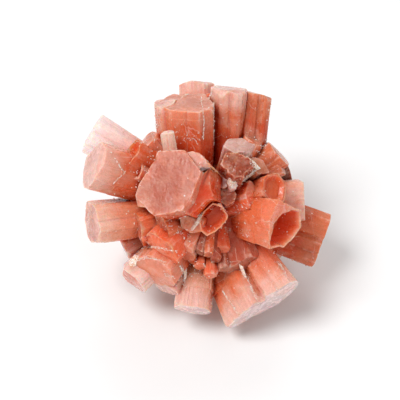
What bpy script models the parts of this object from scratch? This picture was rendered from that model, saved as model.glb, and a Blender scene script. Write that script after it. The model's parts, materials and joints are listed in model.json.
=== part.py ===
"""Aragonite specimen: a ball of stubby six-sided crystals that grew outwards from one centre.

Lengths are in millimetres until a point leaves `to_world`, which gives metres.
The crystals are laid out in a growth frame: x to the right, y up the front view and z towards its viewer,
with the centre of growth as origin. The frame leans back by LEAN when the specimen stands on its feet.
"""

import math
import random

import bmesh
import bpy
from mathutils import Vector

MM = 0.001
LEAN = math.radians(45.0)
CENTRE_HEIGHT = 17.0
CORE_RADIUS = 9.0
ROOT_SCALE = 0.78
CORNER_SHARE = 0.13
CORNER_REACH = 0.56
CORNER_WANDER = 7.0
REACH_SPREAD = (0.93, 1.06)
GROOVE_SPAN = (0.36, 0.64)
GROOVE_SHARE = 0.86
CUP_FLOOR_SCALE = 0.72
FILLER_COUNT = 46
FILLER_SEED = 7
FILLER_LENGTH = (12.2, 15.0)
FILLER_WIDTH = (4.6, 6.6)
FILLER_TILT = 0.25
FILLER_FRONT = 0.35
FILLER_ROOT = 3.0
CHIP_SEED = 500
CHIP_SIZE = (0.4, 1.5)
CHIP_SLANT = (25.0, 60.0)
CHIP_FULL_REACH = 3.5
COMPANION_SEED = 40
COMPANION_OFFSET = 0.72
COMPANION_SHORT = (0.1, 0.2)
COMPANION_TILT = 0.2
COMPANION_WIDTH = 1.15
COMPANION_SPLAY = 0.7
GUESSED_TAPER = 0.8
FILLER_FLATNESS = 0.9
WELD_REACH = 1e-7
BASE_COLOUR = (0.72, 0.24, 0.13, 1.0)
BASE_ROUGHNESS = 0.42
CORE_SUBDIVISIONS = 2
CUTTER_WIDTH = 0.12
CUTTER_DEPTH = 0.02
NODE_NAME = "aragonite_cluster"

UP = Vector((0.0, 1.0, 0.0))
TOWARDS = Vector((0.0, 0.0, 1.0))

# Outlines of end faces, in millimetres across the crystal's own axis.
HEXAGON = (
    (-2.7, 6.0), (2.6, 6.2), (6.4, 1.9), (5.9, 0.6), (4.6, -3.5),
    (3.1, -5.4), (-2.6, -6.5), (-6.7, -2.6), (-6.1, -0.3), (-3.9, 3.3),
)
PLATE = ((2.0, 6.3), (4.9, 6.1), (8.0, 3.2), (6.4, 3.0), (5.3, 1.1), (2.0, -2.0), (1.0, 3.0))
SHOULDER = (
    (2.0, 4.5), (1.7, 0.7), (2.2, -1.2), (1.0, -1.4), (0.1, -2.4),
    (-1.9, -4.7), (-3.3, -4.2), (-2.7, -2.4), (-0.1, 2.4),
)
GRANULAR = (
    (-2.8, 0.4), (-1.6, 2.9), (0.8, 2.6), (3.0, 1.5), (4.0, 0.0),
    (2.4, -1.4), (1.4, -2.8), (-0.4, -2.5), (-1.8, -1.2),
)
DRUM = (
    (5.4, -0.9), (3.5, 4.3), (-3.2, 4.5), (-5.5, 0.3), (-5.2, -1.7),
    (-2.9, -4.1), (0.4, -4.9), (2.8, -5.1), (5.2, -3.0),
)
CUP_RIM = (
    (-2.6, 5.7), (1.4, 4.2), (3.5, 3.7), (4.3, 0.4), (2.6, -1.8),
    (0.2, -3.8), (-1.2, -3.5), (-3.6, -4.0), (-4.2, -2.6), (-4.8, 1.5),
)
CUP_INSIDE = (
    (-1.45, 2.9), (1.45, 3.7), (3.1, 3.3), (3.8, 0.36), (2.3, -1.5),
    (0.1, -3.3), (-1.2, -3.0), (-3.3, -3.4), (-3.7, -2.4), (-3.36, 1.0),
)
CENTRE_CUP = (
    (-0.2, 2.9), (1.5, 2.3), (2.7, 0.4), (2.4, -0.9), (0.4, -2.6),
    (-1.3, -3.5), (-2.4, -2.6), (-2.8, -0.7), (-2.0, 1.2),
)
BLOCK = (
    (-8.5, -1.4), (-6.7, -3.6), (-4.2, -3.6), (2.1, -4.7), (4.2, -4.6),
    (7.4, -1.2), (8.4, 0.9), (8.3, 3.4), (6.8, 4.9), (1.6, 3.9),
    (0.8, 2.4), (0.1, 3.4), (-1.4, 4.1), (-6.0, 1.6),
)
SLAB = (
    (5.6, -2.2), (5.7, 1.4), (4.4, 3.0), (0.7, 3.3), (0.1, 2.7), (-0.6, 3.2),
    (-4.6, 3.1), (-5.6, 1.8), (-5.7, -2.0), (-4.2, -3.0), (4.0, -3.0),
)
FOOTED = (
    (-3.8, 1.0), (-3.5, -1.0), (-1.7, -3.0), (0.9, -3.5), (3.2, -2.4),
    (4.1, -0.4), (3.2, 2.6), (0.8, 3.3), (-1.1, 2.9), (-2.4, 2.6),
)
LEFT_FRONT = (
    (-5.0, 1.3), (-4.2, 3.8), (-0.4, 4.3), (2.3, 3.7), (4.7, 0.5),
    (4.6, -1.6), (2.7, -3.4), (1.5, -4.1), (-1.4, -3.5),
)


def stub(width, depth, turn=0.0, seed=1, groove=False):
    """Outline of a twinned crystal: six uneven sides with blunted corners, and a groove on one of them."""
    rng = random.Random(seed)
    corners = []
    for k in range(6):
        angle = math.radians(turn + 60.0 * k + rng.uniform(-CORNER_WANDER, CORNER_WANDER))
        reach = CORNER_REACH * rng.uniform(*REACH_SPREAD)
        corners.append(Vector((width * reach * math.cos(angle), depth * reach * math.sin(angle))))
    points = []
    for k in range(6):
        before, here, after = corners[k - 1], corners[k], corners[(k + 1) % 6]
        points.append(here.lerp(before, CORNER_SHARE))
        points.append(here.lerp(after, CORNER_SHARE))
        if groove and k == 1:
            start, end = GROOVE_SPAN
            points.append(here.lerp(after, start))
            points.append(here.lerp(after, 0.5) * GROOVE_SHARE)
            points.append(here.lerp(after, end))
    return tuple((p.x, p.y) for p in points)


def crystal(tip, root, outline, facing=TOWARDS, taper=ROOT_SCALE, tilt=(0.0, 0.0), cup=None, chips=2):
    """One row of the layout. `cup` is (inside outline or rim width, depth), `chips` how many corners broke off."""
    return {
        "tip": Vector(tip), "root": Vector(root), "outline": outline, "facing": facing,
        "taper": taper, "tilt": tilt, "cup": cup, "chips": 0 if cup else chips,
    }


def front_side():
    """The crystals of the front view, each placed by where its end face is seen."""
    return [
        crystal((-8.2, 4.3, 20.0), (0, 0, 0), HEXAGON, UP, 0.66, chips=0),
        crystal((-7.7, 4.1, 18.7), (0, 0, 0), PLATE, UP, 0.66, chips=0),
        crystal((-2.4, 2.7, 19.8), (4.1, -0.8, 4.0), SHOULDER, UP, 0.7, tilt=(-0.95, 0.55), chips=0),
        crystal((-8.55, 14.0, 13.5), (-7.0, 5.0, 10.0), stub(2.9, 2.4, 45, 3), UP, 1.0, chips=0),
        crystal((-5.0, 19.9, 9.0), (-4.5, 2.0, 0.0), DRUM, UP, 0.9, chips=0),
        crystal((-9.1, 20.3, 8.4), (-7.6, 4.0, 2.0), stub(4.4, 6.4, 20, 5), UP, 0.95, tilt=(0.1, 0.1)),
        crystal((-3.1, 24.6, -2.0), (-2.8, 3.0, 0.0), stub(7.2, 6.0, 0, 7), taper=0.85),
        crystal((3.6, 22.9, 5.5), (2.2, 3.0, 0.0), stub(7.2, 6.5, 10, 8, True), taper=0.86),
        crystal((8.4, 22.4, 1.0), (6.4, 3.0, 0.0), stub(8.2, 7.0, 25, 9, True), taper=0.92, tilt=(0.2, 0.0)),
        crystal((4.3, 7.5, 16.4), (2.0, 2.0, 3.0), GRANULAR, UP, 0.9, tilt=(0.12, -0.1), chips=0),
        crystal((5.3, 11.5, 13.0), (3.0, 4.0, 4.0), stub(6.4, 3.6, 8, 11), UP, 0.9),
        crystal((2.0, 5.3, 14.2), (1.0, 1.0, 4.0), stub(4.2, 4.0, 30, 12), UP, 0.9, tilt=(0.3, 0.2)),
        crystal((3.8, 4.3, 15.4), (1.5, 1.0, 4.0), stub(2.2, 3.0, 0, 13), UP, 0.9),
        crystal((2.8, 1.9, 14.4), (1.0, 0.0, 4.0), stub(3.4, 3.8, 20, 14), UP, 0.9),
        crystal((12.0, 3.3, 12.2), (3.4, 1.0, 2.0), stub(6.4, 6.2, 10, 15), UP, 0.95, cup=(0.5, 0.9)),
        crystal((13.8, -4.5, 15.0), (2.0, -1.5, 2.0), CUP_RIM, UP, 0.72, cup=(CUP_INSIDE, 5.0)),
        crystal((18.4, 1.1, 1.0), (4.0, 0.6, 0.0), stub(8.4, 6.0, 30, 17), taper=0.85),
        crystal((21.9, -7.2, -3.0), (4.0, -0.6, -1.0), SLAB, taper=0.95, chips=0),
        crystal((11.0, 12.2, -4.0), (3.0, 3.0, -1.0), stub(4.4, 4.0, 0, 19), taper=0.9),
        crystal((13.3, 10.3, 3.0), (3.0, 2.0, 0.0), stub(6.2, 5.4, 12, 20), taper=0.9),
        crystal((15.4, 6.8, -2.0), (3.0, 1.0, 0.0), stub(5.0, 5.0, 25, 21), taper=0.9),
        crystal((14.0, 7.4, 3.5), (3.0, 2.0, 1.0), stub(3.6, 3.4, 5, 22), taper=0.95),
        crystal((9.7, -19.6, 7.5), (1.5, -5.4, 1.2), BLOCK, TOWARDS, 0.72, chips=0),
        crystal((-3.9, -20.5, 6.0), (-1.8, -5.0, 1.0), FOOTED, TOWARDS, 0.8, chips=0),
        crystal((-11.4, -13.1, 9.2), (-3.0, -3.0, 2.0), stub(8.8, 7.6, 5, 23), TOWARDS, 0.8, (0.0, -0.3), chips=1),
        crystal((-10.1, -8.9, 11.8), (-2.4, -0.5, 6.4), stub(8.4, 5.8, 28, 41), TOWARDS, 0.9, tilt=(0.1, -0.3)),
        crystal((-15.8, -14.9, 6.0), (-4.0, -3.6, 1.0), stub(6.6, 6.4, 20, 24), taper=0.86),
        crystal((-9.0, -16.6, 6.0), (-2.6, -4.0, 1.0), stub(6.8, 5.0, 0, 25), taper=0.86),
        crystal((-23.6, -3.3, 8.5), (-4.0, -1.0, 1.0), stub(8.8, 8.0, 14, 26), taper=0.84),
        crystal((-23.3, 7.6, 12.0), (-4.0, 2.0, 2.0), LEFT_FRONT, TOWARDS, 0.84),
        crystal((-24.3, 14.4, 0.0), (-5.0, 2.6, -1.0), stub(8.8, 6.0, 8, 28), taper=0.84),
        crystal((-15.5, 10.2, 12.0), (-4.0, 3.0, 3.0), stub(5.6, 4.6, 30, 29), taper=0.95, cup=(0.4, 1.2)),
        crystal((-14.5, 6.6, 12.0), (-4.0, 1.6, 3.0), stub(3.6, 3.4, 0, 30), taper=0.95, cup=(0.4, 0.8)),
        crystal((-12.9, 12.6, 8.0), (-4.0, 3.0, 2.0), stub(5.6, 5.0, 12, 31), taper=0.95),
        crystal((0.2, -2.4, 17.0), (0.0, 0.0, 4.0), CENTRE_CUP, UP, 0.9, cup=(0.25, 3.2)),
        crystal((-4.2, -3.6, 15.4), (-1.0, -1.0, 5.0), stub(5.2, 4.0, 20, 33), UP, 0.95, tilt=(0.4, 0.2)),
        crystal((-0.4, -13.7, 10.0), (0.0, -2.0, 3.0), stub(3.0, 2.8, 10, 34), taper=0.95),
        crystal((-2.4, -12.0, 9.6), (-1.0, -2.0, 3.0), stub(2.4, 2.4, 0, 35), taper=0.95),
        crystal((-3.6, -11.0, 8.6), (-1.0, -2.0, 3.0), stub(2.8, 2.4, 20, 36), taper=0.95),
        crystal((-4.8, -9.8, 11.0), (-1.0, -2.0, 3.0), stub(3.4, 3.0, 30, 37), taper=0.95),
        crystal((-11.8, 13.2, 8.0), (-5.0, 4.0, 3.0), stub(2.5, 2.5, 15, 38), taper=0.95),
        crystal((-17.6, -8.8, 2.0), (-4.0, -2.0, 0.0), stub(4.4, 4.0, 0, 39), taper=0.9),
        crystal((6.3, -12.2, 7.8), (1.0, -1.0, 7.0), stub(7.2, 4.6, 10, 40), TOWARDS, 0.9, tilt=(0.0, -0.7)),
        crystal((-9.8, -4.6, 12.6), (-1.5, -0.5, 8.6), stub(5.8, 4.2, 12, 42), TOWARDS, 0.95, tilt=(0.1, -0.2)),
        crystal((-14.6, -5.0, 9.0), (-3.0, -1.0, 7.0), stub(6.6, 5.2, 0, 43), TOWARDS, 0.95, tilt=(0.2, -0.2)),
        crystal((8.2, 1.6, 12.2), (2.0, 0.5, 8.0), stub(6.6, 4.2, 18, 44), TOWARDS, 0.95, tilt=(0.0, -0.4)),
        crystal((2.0, -9.0, 10.4), (0.5, -1.0, 7.0), stub(3.4, 3.2, 6, 45), TOWARDS, 0.95, tilt=(0.1, -0.4)),
        crystal((-13.8, 2.0, 13.0), (-3.0, 1.0, 3.0), stub(4.6, 5.4, 4, 46), UP, 0.95, tilt=(0.4, 0.0)),
        crystal((9.0, 7.6, 11.0), (3.0, 2.0, 3.0), stub(4.8, 4.2, 22, 47), UP, 0.95),
        crystal((8.2, 13.0, 4.0), (3.0, 4.0, 0.0), stub(4.8, 4.4, 0, 48), UP, 0.95),
        crystal((0.9, 22.0, 4.0), (-0.4, 3.0, 1.0), stub(4.2, 4.0, 12, 49), taper=0.95),
        crystal((-2.6, -9.2, 11.4), (-0.6, -1.4, 9.0), stub(2.6, 2.2, 5, 81), taper=0.9, tilt=(0.3, -0.4)),
        crystal((-0.9, -9.8, 11.6), (-0.2, -1.4, 9.2), stub(2.2, 2.4, 25, 82), taper=0.9, tilt=(0.0, -0.6)),
        crystal((0.6, -10.8, 11.0), (0.2, -1.4, 8.8), stub(2.4, 2.0, 14, 83), taper=0.9, tilt=(0.2, -0.5)),
        crystal((-5.0, -8.6, 11.8), (-1.4, -1.4, 8.6), stub(3.0, 2.4, 0, 84), taper=0.9, tilt=(0.2, -0.4)),
        crystal((2.2, -12.6, 9.6), (0.6, -1.6, 7.4), stub(2.6, 2.4, 9, 85), taper=0.9, tilt=(-0.2, -0.4)),
    ]


def far_side():
    """The crystals behind and below, which the front view hides: a guess in keeping with the rest."""
    return [
        crystal((-7.0, 11.0, -13.0), (-1.5, 2.0, -2.0), stub(8.4, 7.4, 10, 51, True)),
        crystal((2.0, 17.0, -12.0), (0.5, 3.0, -2.0), stub(9.0, 7.8, 0, 52)),
        crystal((8.5, 11.0, -13.0), (2.0, 2.0, -2.0), stub(8.0, 7.2, 20, 53, True)),
        crystal((15.0, 3.0, -12.0), (2.5, 0.5, -2.0), stub(8.8, 7.8, 5, 54)),
        crystal((14.0, -8.0, -12.0), (2.5, -1.5, -2.0), stub(8.4, 7.6, 15, 55)),
        crystal((-16.0, 3.0, -12.0), (-2.5, 0.5, -2.0), stub(8.8, 8.0, 0, 56, True)),
        crystal((-12.0, -6.0, -13.0), (-2.0, -1.0, -2.0), stub(8.2, 7.4, 25, 57)),
        crystal((-5.0, 6.0, -19.0), (-0.5, 1.0, -3.0), stub(8.8, 7.8, 10, 58), UP),
        crystal((6.0, 7.0, -18.0), (0.8, 1.0, -3.0), stub(9.0, 8.0, 0, 59), UP, cup=(0.6, 2.2)),
        crystal((0.0, 13.0, -17.0), (0.0, 2.0, -3.0), stub(6.8, 6.4, 20, 60)),
        crystal((-10.0, 5.0, -15.0), (-1.5, 1.0, -2.5), stub(5.8, 5.4, 5, 61)),
    ]


def companions(rows):
    """A thinner crystal against each long one, parallel to it and stopping short: a ledge near its end."""
    made = []
    for k, row in enumerate(rows):
        rng = random.Random(COMPANION_SEED + k)
        across, second, along = axes_of(row)
        reach = max(math.hypot(u, v) for u, v in row["outline"])
        angle = rng.uniform(0.0, 2.0 * math.pi)
        beside = (across * math.cos(angle) + second * math.sin(angle)) * reach * COMPANION_OFFSET
        short = rng.uniform(*COMPANION_SHORT) * (row["tip"] - row["root"]).length
        outline = stub(reach * COMPANION_WIDTH, reach, rng.uniform(0.0, 60.0), 300 + k)
        tilt = (rng.uniform(-COMPANION_TILT, COMPANION_TILT), rng.uniform(-COMPANION_TILT, COMPANION_TILT))
        tip = row["tip"] + beside - along * short
        root = row["root"] + beside * COMPANION_SPLAY
        made.append(crystal(tip, root, outline, row["facing"], GUESSED_TAPER, tilt=tilt))
    return made


def fillers():
    """Shorter crystals between the long ones, spread evenly over the ball and varied by a fixed seed."""
    rng = random.Random(FILLER_SEED)
    golden = math.pi * (3.0 - math.sqrt(5.0))
    rows = []
    for k in range(FILLER_COUNT):
        height = 1.0 - 2.0 * (k + 0.5) / FILLER_COUNT
        across = math.sqrt(1.0 - height * height)
        angle = golden * k
        way = Vector((across * math.cos(angle), height, across * math.sin(angle)))
        length = rng.uniform(*FILLER_LENGTH)
        width = rng.uniform(*FILLER_WIDTH)
        turn = rng.uniform(0.0, 60.0)
        tilt = (rng.uniform(-FILLER_TILT, FILLER_TILT), rng.uniform(-FILLER_TILT, FILLER_TILT))
        if way.z < FILLER_FRONT:
            outline = stub(width, width * FILLER_FLATNESS, turn, 200 + k)
            rows.append(crystal(way * length, way * FILLER_ROOT, outline, UP, GUESSED_TAPER, tilt=tilt))
    return rows


def feet():
    """The crystals that it stands on, run a little past the floor so that the cut there leaves flat ends."""
    down = Vector((0.0, -math.sin(LEAN), -math.cos(LEAN)))
    return [
        crystal(down * (CENTRE_HEIGHT + 2.0), down * 3.0, stub(9.0, 8.4, 10, 71)),
        crystal((0.5, -3.5, -22.0), (0.0, -0.5, -3.0), stub(8.6, 7.6, 15, 72), UP),
        crystal((-8.5, -6.0, -19.5), (-1.0, -1.0, -3.0), stub(7.6, 7.2, 0, 73), UP),
        crystal((9.0, -6.0, -19.5), (1.0, -1.0, -3.0), stub(7.8, 7.0, 25, 74), UP),
        crystal((-6.0, -17.0, -7.5), (-1.0, -3.0, -1.0), stub(6.8, 6.8, 5, 75)),
        crystal((8.0, -17.0, -7.5), (1.2, -3.0, -1.0), stub(7.4, 7.2, 20, 76)),
    ]


def to_world(point):
    x, y, z = point
    lean_s, lean_c = math.sin(LEAN), math.cos(LEAN)
    return Vector((x, y * lean_s - z * lean_c, y * lean_c + z * lean_s + CENTRE_HEIGHT)) * MM


def axes_of(row):
    """The crystal's own axes: across, across again and along, right-handed."""
    along = (row["tip"] - row["root"]).normalized()
    second = row["facing"] - along * row["facing"].dot(along)
    second.normalize()
    return second.cross(along), second, along


def counter_clockwise(outline):
    area = sum(
        a[0] * b[1] - b[0] * a[1]
        for a, b in zip(outline, outline[1:] + outline[:1])
    )
    return outline if area > 0 else outline[::-1]


def inside_of(outline, rim):
    """The outline moved in by about the width of the rim."""
    reach = sum(math.hypot(u, v) for u, v in outline) / len(outline)
    share = 1.0 - rim / reach
    return tuple((u * share, v * share) for u, v in outline)


def ring(mesh, row, outline, scale, drop):
    """A closed row of vertices across the crystal, `drop` below its end."""
    across, second, along = axes_of(row)
    length = (row["tip"] - row["root"]).length
    base = row["root"] + along * (length - drop)
    made = []
    for u, v in outline:
        lift = (u * row["tilt"][0] + v * row["tilt"][1]) if drop < length else 0.0
        point = base + across * (u * scale) + second * (v * scale) + along * lift
        made.append(mesh.verts.new(to_world(point)))
    return made


def skin(mesh, lower, upper):
    count = len(lower)
    for k in range(count):
        after = (k + 1) % count
        mesh.faces.new((lower[k], lower[after], upper[after], upper[k]))


def chip_planes(row, seed):
    """Planes that take a corner off the end, as (point, normal)."""
    across, second, along = axes_of(row)
    rng = random.Random(seed)
    planes = []
    for _ in range(row["chips"]):
        u, v = rng.choice(row["outline"])
        reach = math.hypot(u, v)
        size = rng.uniform(*CHIP_SIZE) * min(1.0, reach / CHIP_FULL_REACH)
        slant = math.radians(rng.uniform(*CHIP_SLANT))
        outwards = (across * u + second * v) / reach
        normal = outwards * math.cos(slant) + along * math.sin(slant)
        point = row["tip"] + outwards * (reach - size)
        planes.append((point, normal.normalized()))
    return planes


def world_way(way):
    return (to_world(way) - to_world((0.0, 0.0, 0.0))).normalized()


def break_corners(mesh, planes):
    for point, normal in planes:
        bmesh.ops.bisect_plane(
            mesh, geom=mesh.verts[:] + mesh.edges[:] + mesh.faces[:], dist=WELD_REACH,
            plane_co=to_world(point), plane_no=world_way(normal), clear_outer=True,
        )
        bmesh.ops.holes_fill(mesh, edges=[e for e in mesh.edges if e.is_boundary], sides=0)


def crystal_mesh(name, row, seed):
    mesh = bmesh.new()
    outline = counter_clockwise(tuple(row["outline"]))
    length = (row["tip"] - row["root"]).length
    foot = ring(mesh, row, outline, row["taper"], length)
    end = ring(mesh, row, outline, 1.0, 0.0)
    mesh.faces.new(foot[::-1])
    skin(mesh, foot, end)
    if row["cup"]:
        shape, depth = row["cup"]
        inner = inside_of(outline, shape) if isinstance(shape, float) else counter_clockwise(tuple(shape))
        lip = ring(mesh, row, inner, 1.0, 0.0)
        floor = ring(mesh, row, inner, CUP_FLOOR_SCALE, depth)
        skin(mesh, end, lip)
        skin(mesh, lip, floor)
        mesh.faces.new(floor)
    else:
        mesh.faces.new(end)
        break_corners(mesh, chip_planes(row, seed))
    data = bpy.data.meshes.new(name)
    mesh.to_mesh(data)
    mesh.free()
    return bpy.data.objects.new(name, data)


def core_object(name):
    mesh = bmesh.new()
    bmesh.ops.create_icosphere(mesh, subdivisions=CORE_SUBDIVISIONS, radius=CORE_RADIUS * MM)
    for vert in mesh.verts:
        vert.co += to_world((0.0, 0.0, 0.0))
    data = bpy.data.meshes.new(name)
    mesh.to_mesh(data)
    mesh.free()
    return bpy.data.objects.new(name, data)


def floor_cutter(name):
    mesh = bmesh.new()
    bmesh.ops.create_cube(mesh, size=1.0)
    for vert in mesh.verts:
        x, y, z = vert.co
        vert.co = Vector((x * CUTTER_WIDTH, y * CUTTER_WIDTH, (z - 0.5) * CUTTER_DEPTH))
    data = bpy.data.meshes.new(name)
    mesh.to_mesh(data)
    mesh.free()
    return bpy.data.objects.new(name, data)


def as_helper(obj):
    obj.hide_render = True
    obj.display_type = "WIRE"


def material():
    made = bpy.data.materials.new("aragonite")
    made.use_nodes = True
    shader = made.node_tree.nodes["Principled BSDF"]
    shader.inputs["Base Color"].default_value = BASE_COLOUR
    shader.inputs["Roughness"].default_value = BASE_ROUGHNESS
    return made


def boolean(obj, name, operation):
    made = obj.modifiers.new(name, "BOOLEAN")
    made.operation = operation
    made.solver = "EXACT"
    return made


def build():
    for old in list(bpy.data.objects):
        bpy.data.objects.remove(old, do_unlink=True)
    scene = bpy.context.scene.collection
    helpers = bpy.data.collections.new("crystals")
    scene.children.link(helpers)
    far = far_side()
    rows = front_side() + far + companions(far) + fillers() + feet()
    for k, row in enumerate(rows):
        obj = crystal_mesh(f"crystal_{k:02d}", row, CHIP_SEED + k)
        as_helper(obj)
        helpers.objects.link(obj)
    cutter = floor_cutter("floor_cut")
    as_helper(cutter)
    scene.objects.link(cutter)
    core = core_object(NODE_NAME)
    core.data.materials.append(material())
    scene.objects.link(core)

    union = boolean(core, "grown_together", "UNION")
    union.operand_type = "COLLECTION"
    union.collection = helpers
    worn = boolean(core, "worn_feet", "DIFFERENCE")
    worn.object = cutter

    corners = [v.co for obj in helpers.objects for v in obj.data.vertices if v.co.z > 0.0]
    middle_x = (min(c.x for c in corners) + max(c.x for c in corners)) / 2
    middle_y = (min(c.y for c in corners) + max(c.y for c in corners)) / 2
    for obj in list(helpers.objects) + [core]:
        obj.location = (-middle_x, -middle_y, 0.0)


build()
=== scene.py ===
"""The looks of the aragonite specimen: every crystal again with striated sides, grown ends and broken
corners, joined into one skin, with a translucent material, grains of frost between the crystals, and pale
shards and flakes laid on, mostly as painted highlights.

Shapes are worked out in millimetres in the growth frame: x to the right, y up the front view, z towards
its viewer, with the centre of growth as origin. `to_world` gives metres in the frame of the solids.
"""

import json
import math
import random

import bmesh
import bpy
import numpy as np
from mathutils import Euler, Matrix, Vector, noise
from mathutils.bvhtree import BVHTree

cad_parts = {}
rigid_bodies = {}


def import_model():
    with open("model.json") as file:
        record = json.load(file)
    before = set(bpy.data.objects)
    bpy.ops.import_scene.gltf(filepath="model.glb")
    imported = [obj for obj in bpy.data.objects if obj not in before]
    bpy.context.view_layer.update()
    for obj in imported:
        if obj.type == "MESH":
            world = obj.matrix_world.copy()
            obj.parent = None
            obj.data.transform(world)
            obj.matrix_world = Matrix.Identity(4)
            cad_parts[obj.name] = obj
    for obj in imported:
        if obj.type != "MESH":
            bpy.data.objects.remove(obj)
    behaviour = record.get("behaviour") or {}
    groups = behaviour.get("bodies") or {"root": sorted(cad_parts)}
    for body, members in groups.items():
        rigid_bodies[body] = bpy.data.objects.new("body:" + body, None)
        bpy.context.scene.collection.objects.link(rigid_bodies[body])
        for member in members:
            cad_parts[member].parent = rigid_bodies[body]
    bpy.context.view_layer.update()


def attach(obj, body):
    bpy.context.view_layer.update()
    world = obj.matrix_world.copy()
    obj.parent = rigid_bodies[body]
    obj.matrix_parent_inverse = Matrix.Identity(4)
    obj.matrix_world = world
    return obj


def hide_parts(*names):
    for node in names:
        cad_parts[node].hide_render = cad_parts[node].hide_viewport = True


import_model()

MM = 0.001
GOLDEN_ANGLE = math.pi * (3.0 - math.sqrt(5.0))
FULL_TURN = 6.28
LEAN = math.radians(45.0)
CENTRE_HEIGHT = 17.0
CORE_RADIUS = 9.0
ROOT_SCALE = 0.78
NEAR_SPACING = 0.42
FAR_SPACING = 0.6
FEET_SPACING = 0.7
CORNER_SHARE = 0.13
CORNER_REACH = 0.56
CORNER_WANDER = 7.0
REACH_SPREAD = (0.93, 1.06)
GROOVE_SPAN = (0.36, 0.64)
GROOVE_SHARE = 0.86
CUP_FLOOR_SCALE = 0.72
FILLER_COUNT = 46
FILLER_SEED = 7
FILLER_LENGTH = (12.2, 15.0)
FILLER_WIDTH = (4.6, 6.6)
FILLER_TILT = 0.25
FILLER_FRONT = 0.35
FILLER_ROOT = 3.0
FILLER_FLATNESS = 0.9
FILLER_OUTLINES = 200
FILLER_ROUGHNESS = 0.3
FILLER_TINTS = ("orange", "rose", "brown", "pale")
GUESSED_TAPER = 0.8
CHIP_SEED = 500
CHIP_SIZE = (0.4, 1.5)
CHIP_SLANT = (25.0, 60.0)
CHIP_FULL_REACH = 3.5
COMPANION_SEED = 40
COMPANION_OFFSET = 0.72
COMPANION_SHORT = (0.1, 0.2)
COMPANION_TILT = 0.2
COMPANION_WIDTH = 1.15
COMPANION_SPLAY = 0.7
COMPANION_OUTLINES = 300
NODE_NAME = "aragonite_cluster"

UP = np.array((0.0, 1.0, 0.0))
TOWARDS = np.array((0.0, 0.0, 1.0))

HEXAGON = (
    (-2.7, 6.0), (2.6, 6.2), (6.4, 1.9), (5.9, 0.6), (4.6, -3.5),
    (3.1, -5.4), (-2.6, -6.5), (-6.7, -2.6), (-6.1, -0.3), (-3.9, 3.3),
)
PLATE = ((2.0, 6.3), (4.9, 6.1), (8.0, 3.2), (6.4, 3.0), (5.3, 1.1), (2.0, -2.0), (1.0, 3.0))
SHOULDER = (
    (2.0, 4.5), (1.7, 0.7), (2.2, -1.2), (1.0, -1.4), (0.1, -2.4),
    (-1.9, -4.7), (-3.3, -4.2), (-2.7, -2.4), (-0.1, 2.4),
)
GRANULAR = (
    (-2.8, 0.4), (-1.6, 2.9), (0.8, 2.6), (3.0, 1.5), (4.0, 0.0),
    (2.4, -1.4), (1.4, -2.8), (-0.4, -2.5), (-1.8, -1.2),
)
DRUM = (
    (5.4, -0.9), (3.5, 4.3), (-3.2, 4.5), (-5.5, 0.3), (-5.2, -1.7),
    (-2.9, -4.1), (0.4, -4.9), (2.8, -5.1), (5.2, -3.0),
)
CUP_RIM = (
    (-2.6, 5.7), (1.4, 4.2), (3.5, 3.7), (4.3, 0.4), (2.6, -1.8),
    (0.2, -3.8), (-1.2, -3.5), (-3.6, -4.0), (-4.2, -2.6), (-4.8, 1.5),
)
CUP_INSIDE = (
    (-1.45, 2.9), (1.45, 3.7), (3.1, 3.3), (3.8, 0.36), (2.3, -1.5),
    (0.1, -3.3), (-1.2, -3.0), (-3.3, -3.4), (-3.7, -2.4), (-3.36, 1.0),
)
CENTRE_CUP = (
    (-0.2, 2.9), (1.5, 2.3), (2.7, 0.4), (2.4, -0.9), (0.4, -2.6),
    (-1.3, -3.5), (-2.4, -2.6), (-2.8, -0.7), (-2.0, 1.2),
)
BLOCK = (
    (-8.5, -1.4), (-6.7, -3.6), (-4.2, -3.6), (2.1, -4.7), (4.2, -4.6),
    (7.4, -1.2), (8.4, 0.9), (8.3, 3.4), (6.8, 4.9), (1.6, 3.9),
    (0.8, 2.4), (0.1, 3.4), (-1.4, 4.1), (-6.0, 1.6),
)
SLAB = (
    (5.6, -2.2), (5.7, 1.4), (4.4, 3.0), (0.7, 3.3), (0.1, 2.7), (-0.6, 3.2),
    (-4.6, 3.1), (-5.6, 1.8), (-5.7, -2.0), (-4.2, -3.0), (4.0, -3.0),
)
FOOTED = (
    (-3.8, 1.0), (-3.5, -1.0), (-1.7, -3.0), (0.9, -3.5), (3.2, -2.4),
    (4.1, -0.4), (3.2, 2.6), (0.8, 3.3), (-1.1, 2.9), (-2.4, 2.6),
)
LEFT_FRONT = (
    (-5.0, 1.3), (-4.2, 3.8), (-0.4, 4.3), (2.3, 3.7), (4.7, 0.5),
    (4.6, -1.6), (2.7, -3.4), (1.5, -4.1), (-1.4, -3.5),
)

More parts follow.
